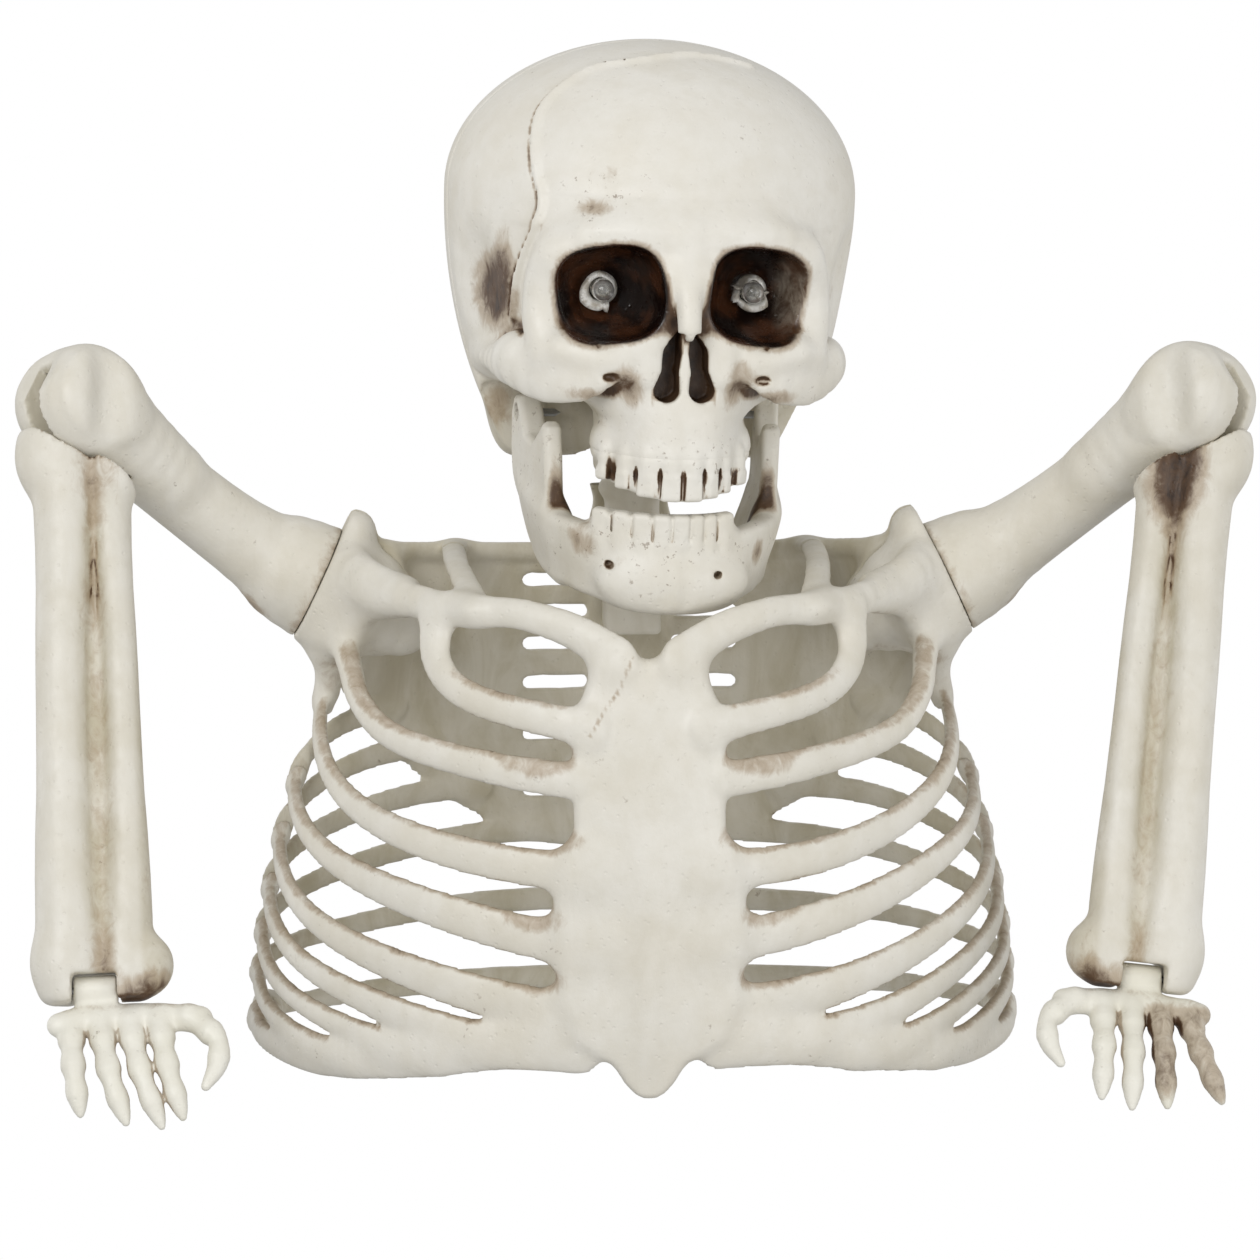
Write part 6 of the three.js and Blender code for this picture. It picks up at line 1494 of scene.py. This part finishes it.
class Nodes:
    """A material's node tree, one call for each node"""

    def __init__(self, name):
        self.material = bpy.data.materials.new(name)
        self.material.use_nodes = True
        self.tree = self.material.node_tree
        self.shader = self.tree.nodes["Principled BSDF"]
        self.place = self.node("TexCoord").outputs["Object"]

    def node(self, kind, settings=None, **values):
        """A new node of a kind, with its settings and what goes into its sockets"""
        node = self.tree.nodes.new("ShaderNode" + kind)
        for title, value in (settings or {}).items():
            setattr(node, title, value)
        for title, value in values.items():
            self.feed(node.inputs[title.replace("_", " ")], value)
        return node

    def feed(self, socket, value):
        """Gives a socket another's output, a screen colour or a number"""
        if isinstance(value, bpy.types.NodeSocket):
            self.tree.links.new(value, socket)
        elif isinstance(value, tuple):
            socket.default_value = (*(screen_tone(level) for level in value), 1.0)
        else:
            socket.default_value = value

    def attribute(self, name):
        return self.node("Attribute", {"attribute_name": name}).outputs["Fac"]

    def noise(self, scale, detail=4.0, rough=0.55, stretch=None, warp=0.0):
        place = self.place
        if stretch:
            mapping = self.node("Mapping", Vector=place)
            mapping.inputs["Scale"].default_value = stretch
            place = mapping.outputs["Vector"]
        values = {"Scale": scale, "Detail": detail, "Roughness": rough, "Distortion": warp}
        return self.node("TexNoise", Vector=place, **values).outputs["Fac"]

    def cells(self, scale):
        return self.node("TexVoronoi", Vector=self.place, Scale=scale).outputs["Distance"]

    def maths(self, operation, a, b=0.0, c=0.0):
        node = self.node("Math", {"operation": operation})
        for socket, value in zip(node.inputs, (a, b, c)):
            self.feed(socket, value)
        return node.outputs[0]

    def times(self, a, b):
        return self.maths("MULTIPLY", a, b)

    def times_plus(self, a, b, c):
        return self.maths("MULTIPLY_ADD", a, b, c)

    def step(self, value, low, high):
        """0 below low, 1 above high, smooth between"""
        settings = {"interpolation_type": "SMOOTHSTEP"}
        return self.node("MapRange", settings, Value=value, From_Min=low, From_Max=high).outputs["Result"]

    def blend(self, share, a, b):
        return self.node("Mix", {"data_type": "RGBA"}, Factor=share, A=a, B=b).outputs["Result"]

    def bump(self, height, distance, strength=1.0):
        node = self.node("Bump", Height=height, Distance=distance, Strength=strength)
        self.feed(self.shader.inputs["Normal"], node.outputs["Normal"])

    def look(self, colour, roughness, metallic=0.0):
        self.feed(self.shader.inputs["Base Color"], colour)
        self.feed(self.shader.inputs["Roughness"], roughness)
        self.feed(self.shader.inputs["Metallic"], metallic)
        return self.material


def bone_material(name, pale, warm, wash_and_painted_shade):
    """Aged plastic bone: mottled ivory, painted shade in a greyer tone where the shade attribute is high,
    brown stain rubbed into the hollows
    """
    n = Nodes(name)
    broad = n.step(n.noise(26, 3), 0.38, 0.66)
    fine = n.step(n.noise(120, 5, 0.6), 0.35, 0.7)
    base = n.blend(n.times(broad, 0.5), pale, warm)
    base = n.blend(n.times(fine, 0.1), base, wash_and_painted_shade)
    # Painted shade: the shade attribute, broken into streaks by noise, greys the colour towards the greige
    # tone
    shade_streaks = n.step(n.noise(60, 6, 0.62, (1, 1, 0.45), 0.6), 0.3, 0.72)
    painted_shade = n.times(n.attribute("shade"), n.times_plus(shade_streaks, 0.45, 0.42))
    base = n.blend(painted_shade, base, wash_and_painted_shade)
    rub = n.maths("SUBTRACT", n.noise(210, 7, 0.68, (1, 1, 0.6), 0.8), 0.5)
    patch = n.maths("SUBTRACT", n.noise(48, 4, 0.6), 0.5)
    level = n.times_plus(rub, 0.85, n.times_plus(patch, 0.5, n.attribute("stain")))
    base = n.blend(n.times(n.step(level, 0.2, 0.62), 0.62), base, (150, 124, 90))
    base = n.blend(n.step(level, 0.55, 0.95), base, (84, 60, 38))
    base = n.blend(n.step(level, 0.9, 1.25), base, (36, 23, 15))
    specks = n.step(n.noise(380, 3, 0.7), 0.6, 0.68)
    where = n.step(n.times_plus(n.attribute("grime"), 0.3, n.noise(70, 4, 0.7)), 0.6, 0.78)
    base = n.blend(n.times(n.times(specks, where), 0.6), base, (108, 84, 58))
    wet = n.attribute("wet")
    dark = n.blend(n.step(n.noise(70, 4), 0.42, 0.62), (20, 10, 7), (66, 38, 22))
    base = n.blend(wet, base, dark)
    rough = n.maths("SUBTRACT", n.times_plus(fine, 0.16, 0.44), n.times(wet, 0.28))
    pores = n.times(n.step(n.cells(260), 0.22, 0.04), -0.5)
    relief = n.maths("ADD", n.times(n.noise(420, 6, 0.6), 0.5), pores)
    n.bump(n.times_plus(n.noise(70, 4), 1.2, relief), 0.00035, 0.8)
    return n.look(base, rough)


def plain_plastic(name, tone, darker, roughness):
    n = Nodes(name)
    mottle = n.step(n.noise(150, 4), 0.35, 0.7)
    n.bump(n.noise(900, 4), 0.0001, 0.5)
    return n.look(n.blend(mottle, tone, darker), n.times_plus(mottle, 0.15, roughness))


def metal(name, tone, darker, roughness):
    n = Nodes(name)
    brushed = n.noise(300, 5, 0.6, (1, 8, 1))
    n.bump(brushed, 0.00008, 0.5)
    base = n.blend(n.step(n.noise(80, 4), 0.4, 0.7), tone, darker)
    return n.look(base, n.times_plus(brushed, 0.25, roughness), 1.0)


def clear_resin():
    n = Nodes("clear_resin")
    n.feed(n.shader.inputs["Transmission Weight"], 0.75)
    n.feed(n.shader.inputs["IOR"], 1.5)
    n.bump(n.noise(500, 3), 0.0002, 0.6)
    tone = n.blend(n.step(n.noise(300, 3), 0.4, 0.6), (225, 224, 218), (180, 176, 165))
    return n.look(tone, n.times_plus(n.noise(400, 2), 0.2, 0.05))


def hot_glue():
    n = Nodes("hot_glue")
    n.feed(n.shader.inputs["Transmission Weight"], 0.3)
    n.feed(n.shader.inputs["IOR"], 1.45)
    n.bump(n.noise(420, 5), 0.0006, 0.9)
    tone = n.blend(n.step(n.noise(260, 4), 0.4, 0.62), (246, 244, 238), (190, 182, 168))
    return n.look(tone, n.times_plus(n.noise(300, 3), 0.25, 0.12))


def paint_nodes(looks):
    """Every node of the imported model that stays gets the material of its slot"""
    slots = {part["node"]: part["material_slot"] for part in frame["record"]["subparts"]}
    for name, node in frame["nodes"].items():
        node.data.materials.clear()
        node.data.materials.append(looks[slots[name]])
        for layer, level in (("stain", 0.15), ("shade", 0.2), ("wet", 0.0), ("grime", 0.15)):
            if layer not in node.data.attributes:
                values = node.data.attributes.new(layer, "FLOAT", "POINT")
                values.data.foreach_set("value", [level] * len(node.data.vertices))


# Small pieces: lamps, their glue and the screws


def around_axis(count):
    return np.arange(count) * 2 * math.pi / count


def ring(radius, y, angles):
    """Points round the Y axis"""
    return np.stack([radius * np.cos(angles), y + 0 * angles, radius * np.sin(angles)], axis=1)


def ring_faces(rows, around):
    """Four-sided faces between rings of points"""
    row = np.arange(rows - 1)[:, None] * around
    a, b = row + np.arange(around), row + np.roll(np.arange(around), -1)
    return np.stack([a, b, b + around, a + around], axis=-1).reshape(-1, 4)


def lathe(profile, around, wobble=None):
    """Points and faces of a closed form turned about Y; profile rows are radius and y"""
    angles = around_axis(around)
    rings = []
    for row, (radius, y) in enumerate(profile):
        change = 0 if wobble is None else wobble(row, angles)
        rings.append(ring(radius + change, y, angles))
    return np.concatenate(rings), ring_faces(len(rings), around)


def small_piece(name, form, matrix, looks, slot, body, replaced):
    points, faces = form
    thing = mesh_object(name, points, faces, matrix, {}, looks[slot])
    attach(thing, body)
    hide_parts(replaced)


def glue_form(random):
    """A ragged collar on the socket's wall round the lamp"""
    ripples = 11
    corners = np.sort(random.uniform(0, 2 * math.pi, ripples))
    heights = random.uniform(-1, 1, ripples)
    shares = (0, 0.6, 1.6, 2.8, 2.4, 1.0, 0.2, 0)

    def ragged(row, angles):
        return shares[row] * np.interp(angles + 0.06 * row, corners, heights, period=2 * math.pi)

    collar_radius, socket_radius = 7.2, 17.5
    wall = ORBIT[1] + ORBIT_RADII[1] * math.sqrt(1 - (collar_radius / socket_radius) ** 2) - 1
    profile = [
        (4.3, wall - 0.1), (4.35, wall - 3), (4.9, wall - 4.6), (6.0, wall - 4.2),
        (6.6, wall - 2.8), (6.5, wall - 1.2), (6.2, wall - 0.4), (4.3, wall - 0.1),
    ]
    points, faces = lathe(profile, 72, ragged)
    return points, faces[:, ::-1]


def lamp_form():
    """A lamp's clear body: a dome in front, straight sides and a flat back"""
    dome = [
        (LED_RADIUS * math.sin(a), LED_TIP_Y + LED_RADIUS * (1 - math.cos(a)))
        for a in np.linspace(0.02, math.pi / 2, 9)
    ]
    back = LED_TIP_Y + LED_LENGTH
    return lathe(dome + [(LED_RADIUS, back - 3), (LED_RADIUS, back - 0.2), (0.05, back)], 28)


def lamp_pieces(looks):
    random = np.random.default_rng(7)
    for name, side in (("left", -1), ("right", 1)):
        matrix = HEAD @ placing(origin=(side * ORBIT[0], 0, ORBIT[2]))
        small_piece("lamp_" + name, lamp_form(), matrix, looks, "clear_resin", "head", "led_" + name)
        glue = glue_form(random)
        small_piece("glue_" + name, glue, matrix, looks, "hot_glue", "head", "glue_collar_" + name)


def screw_form(length):
    """A pan-head screw along +Y from its head's top, with a cross sunk in the top"""
    around = 48
    angles = around_axis(around)
    rings = []
    for radius in (0.15, 0.5, 0.9, 1.3, 1.7, 2.1, 2.5, 2.8):
        x, z = np.abs(radius * np.cos(angles)), np.abs(radius * np.sin(angles))
        cross = (np.minimum(x, z) < 0.36) & (np.maximum(x, z) < 1.75)
        dome = 0.55 * (radius / 2.8) ** 2
        rings.append(ring(radius, dome + np.where(cross, 1.0 - 0.25 * radius, 0), angles))
    for radius, y in ((3.0, 0.95), (3.0, 1.85), (2.9, 2.0), (1.5, 2.0), (1.5, length - 2.2), (0.15, length)):
        rings.append(ring(radius, y, angles))
    return np.concatenate(rings), ring_faces(len(rings), around)


def screw_pieces(looks):
    lines = {name: (HEAD, head, tip, "head") for name, (head, tip) in SCREWS.items()}
    for name, ends in SHELL_SCREWS.items():
        for word, side in (("_left", -1), ("_right", 1)):
            lines[name + word] = (TORSO, *(np.multiply(end, (side, 1, 1)) for end in ends), "torso")
    for name, height in NECK_SCREWS.items():
        lines[name] = (TORSO, *neck_screw(height), "torso")
    for name, (matrix, head, tip, body) in lines.items():
        along = np.subtract(tip, head)
        way = unit(along)
        other = unit(np.cross(way, [0.3, 0.1, 1.0]))
        place = matrix @ placing(np.stack([other, way, np.cross(other, way)], axis=1), head)
        small_piece(name + "_shown", screw_form(np.linalg.norm(along)), place, looks, "steel", body, name)


# Camera, light and surroundings


def aim(thing, target):
    way = Vector(target) - thing.location
    thing.rotation_euler = way.to_track_quat("-Z", "Y").to_euler()


def add_camera():
    elevation, azimuth, distance = math.radians(11), math.radians(-3), 1.5
    focal_length, picture_width = 4000, 1260
    target = Vector((-0.0035, 0.002, 0.165))
    level = math.cos(elevation)
    out = Vector((math.sin(azimuth) * level, -math.cos(azimuth) * level, math.sin(elevation)))
    data = bpy.data.cameras.new("camera")
    data.sensor_width = 36
    data.lens = data.sensor_width * focal_length / picture_width
    camera = bpy.data.objects.new("camera", data)
    bpy.context.scene.collection.objects.link(camera)
    camera.location = target + out * distance
    aim(camera, target)
    bpy.context.scene.camera = camera


def add_area(name, place, target, size, power):
    data = bpy.data.lights.new(name, "AREA")
    data.shape = "RECTANGLE"
    data.size, data.size_y = size
    data.energy = power
    lamp = bpy.data.objects.new(name, data)
    bpy.context.scene.collection.objects.link(lamp)
    lamp.location = place
    aim(lamp, target)


def add_lights():
    centre = (0, 0, 0.19)
    add_area("key", (-0.7, -1.3, 0.95), centre, (0.8, 0.8), 12.4)
    add_area("fill", (0.8, -1.2, 0.1), centre, (1.0, 1.0), 6.9)
    add_area("top", (0, 0.3, 1.5), centre, (1.2, 1.2), 3)
    for side in (-1, 1):
        add_area("edge", (1.4 * side, 0.55, 0.25), centre, (0.9, 1.3), 4)


def add_surroundings():
    """White all round for the camera, and a softer white as light on the object"""
    world = bpy.data.worlds.new("white")
    bpy.context.scene.world = world
    world.use_nodes = True
    tree = world.node_tree
    back = tree.nodes["Background"]
    path = tree.nodes.new("ShaderNodeLightPath")
    seen = tree.nodes.new("ShaderNodeMath")
    seen.operation = "MAXIMUM"
    tree.links.new(path.outputs["Is Camera Ray"], seen.inputs[0])
    tree.links.new(path.outputs["Is Transmission Ray"], seen.inputs[1])
    strength = tree.nodes.new("ShaderNodeMapRange")
    strength.inputs["To Min"].default_value = 0.42
    strength.inputs["To Max"].default_value = 1.0
    tree.links.new(seen.outputs[0], strength.inputs["Value"])
    tree.links.new(strength.outputs["Result"], back.inputs["Strength"])
    back.inputs["Color"].default_value = (1, 1, 1, 1)


def main():
    looks = {
        "bone_plastic": bone_material("aged_bone", (231, 228, 220), (222, 216, 202), (180, 171, 144)),
        "hand_plastic": bone_material("aged_hand", (238, 236, 226), (228, 225, 208), (178, 168, 146)),
        "steel": metal("steel", (178, 180, 184), (128, 130, 134), 0.25),
        "clear_resin": clear_resin(),
        "hot_glue": hot_glue(),
        "lead_sleeve": plain_plastic("lead_sleeve", (142, 29, 26), (110, 20, 18), 0.4),
        "black_plastic": plain_plastic("black_plastic", (38, 38, 42), (24, 24, 26), 0.4),
        "battery_can": metal("battery_can", (58, 90, 72), (44, 70, 56), 0.3),
    }
    add_camera()
    add_lights()
    add_surroundings()
    paint_nodes(looks)
    for build in (chest_shell, back_shell, neck_post, arms, skull, jaw, lamp_pieces, screw_pieces):
        build(looks)


main()
bpy.context.scene.view_settings.view_transform = "Standard"
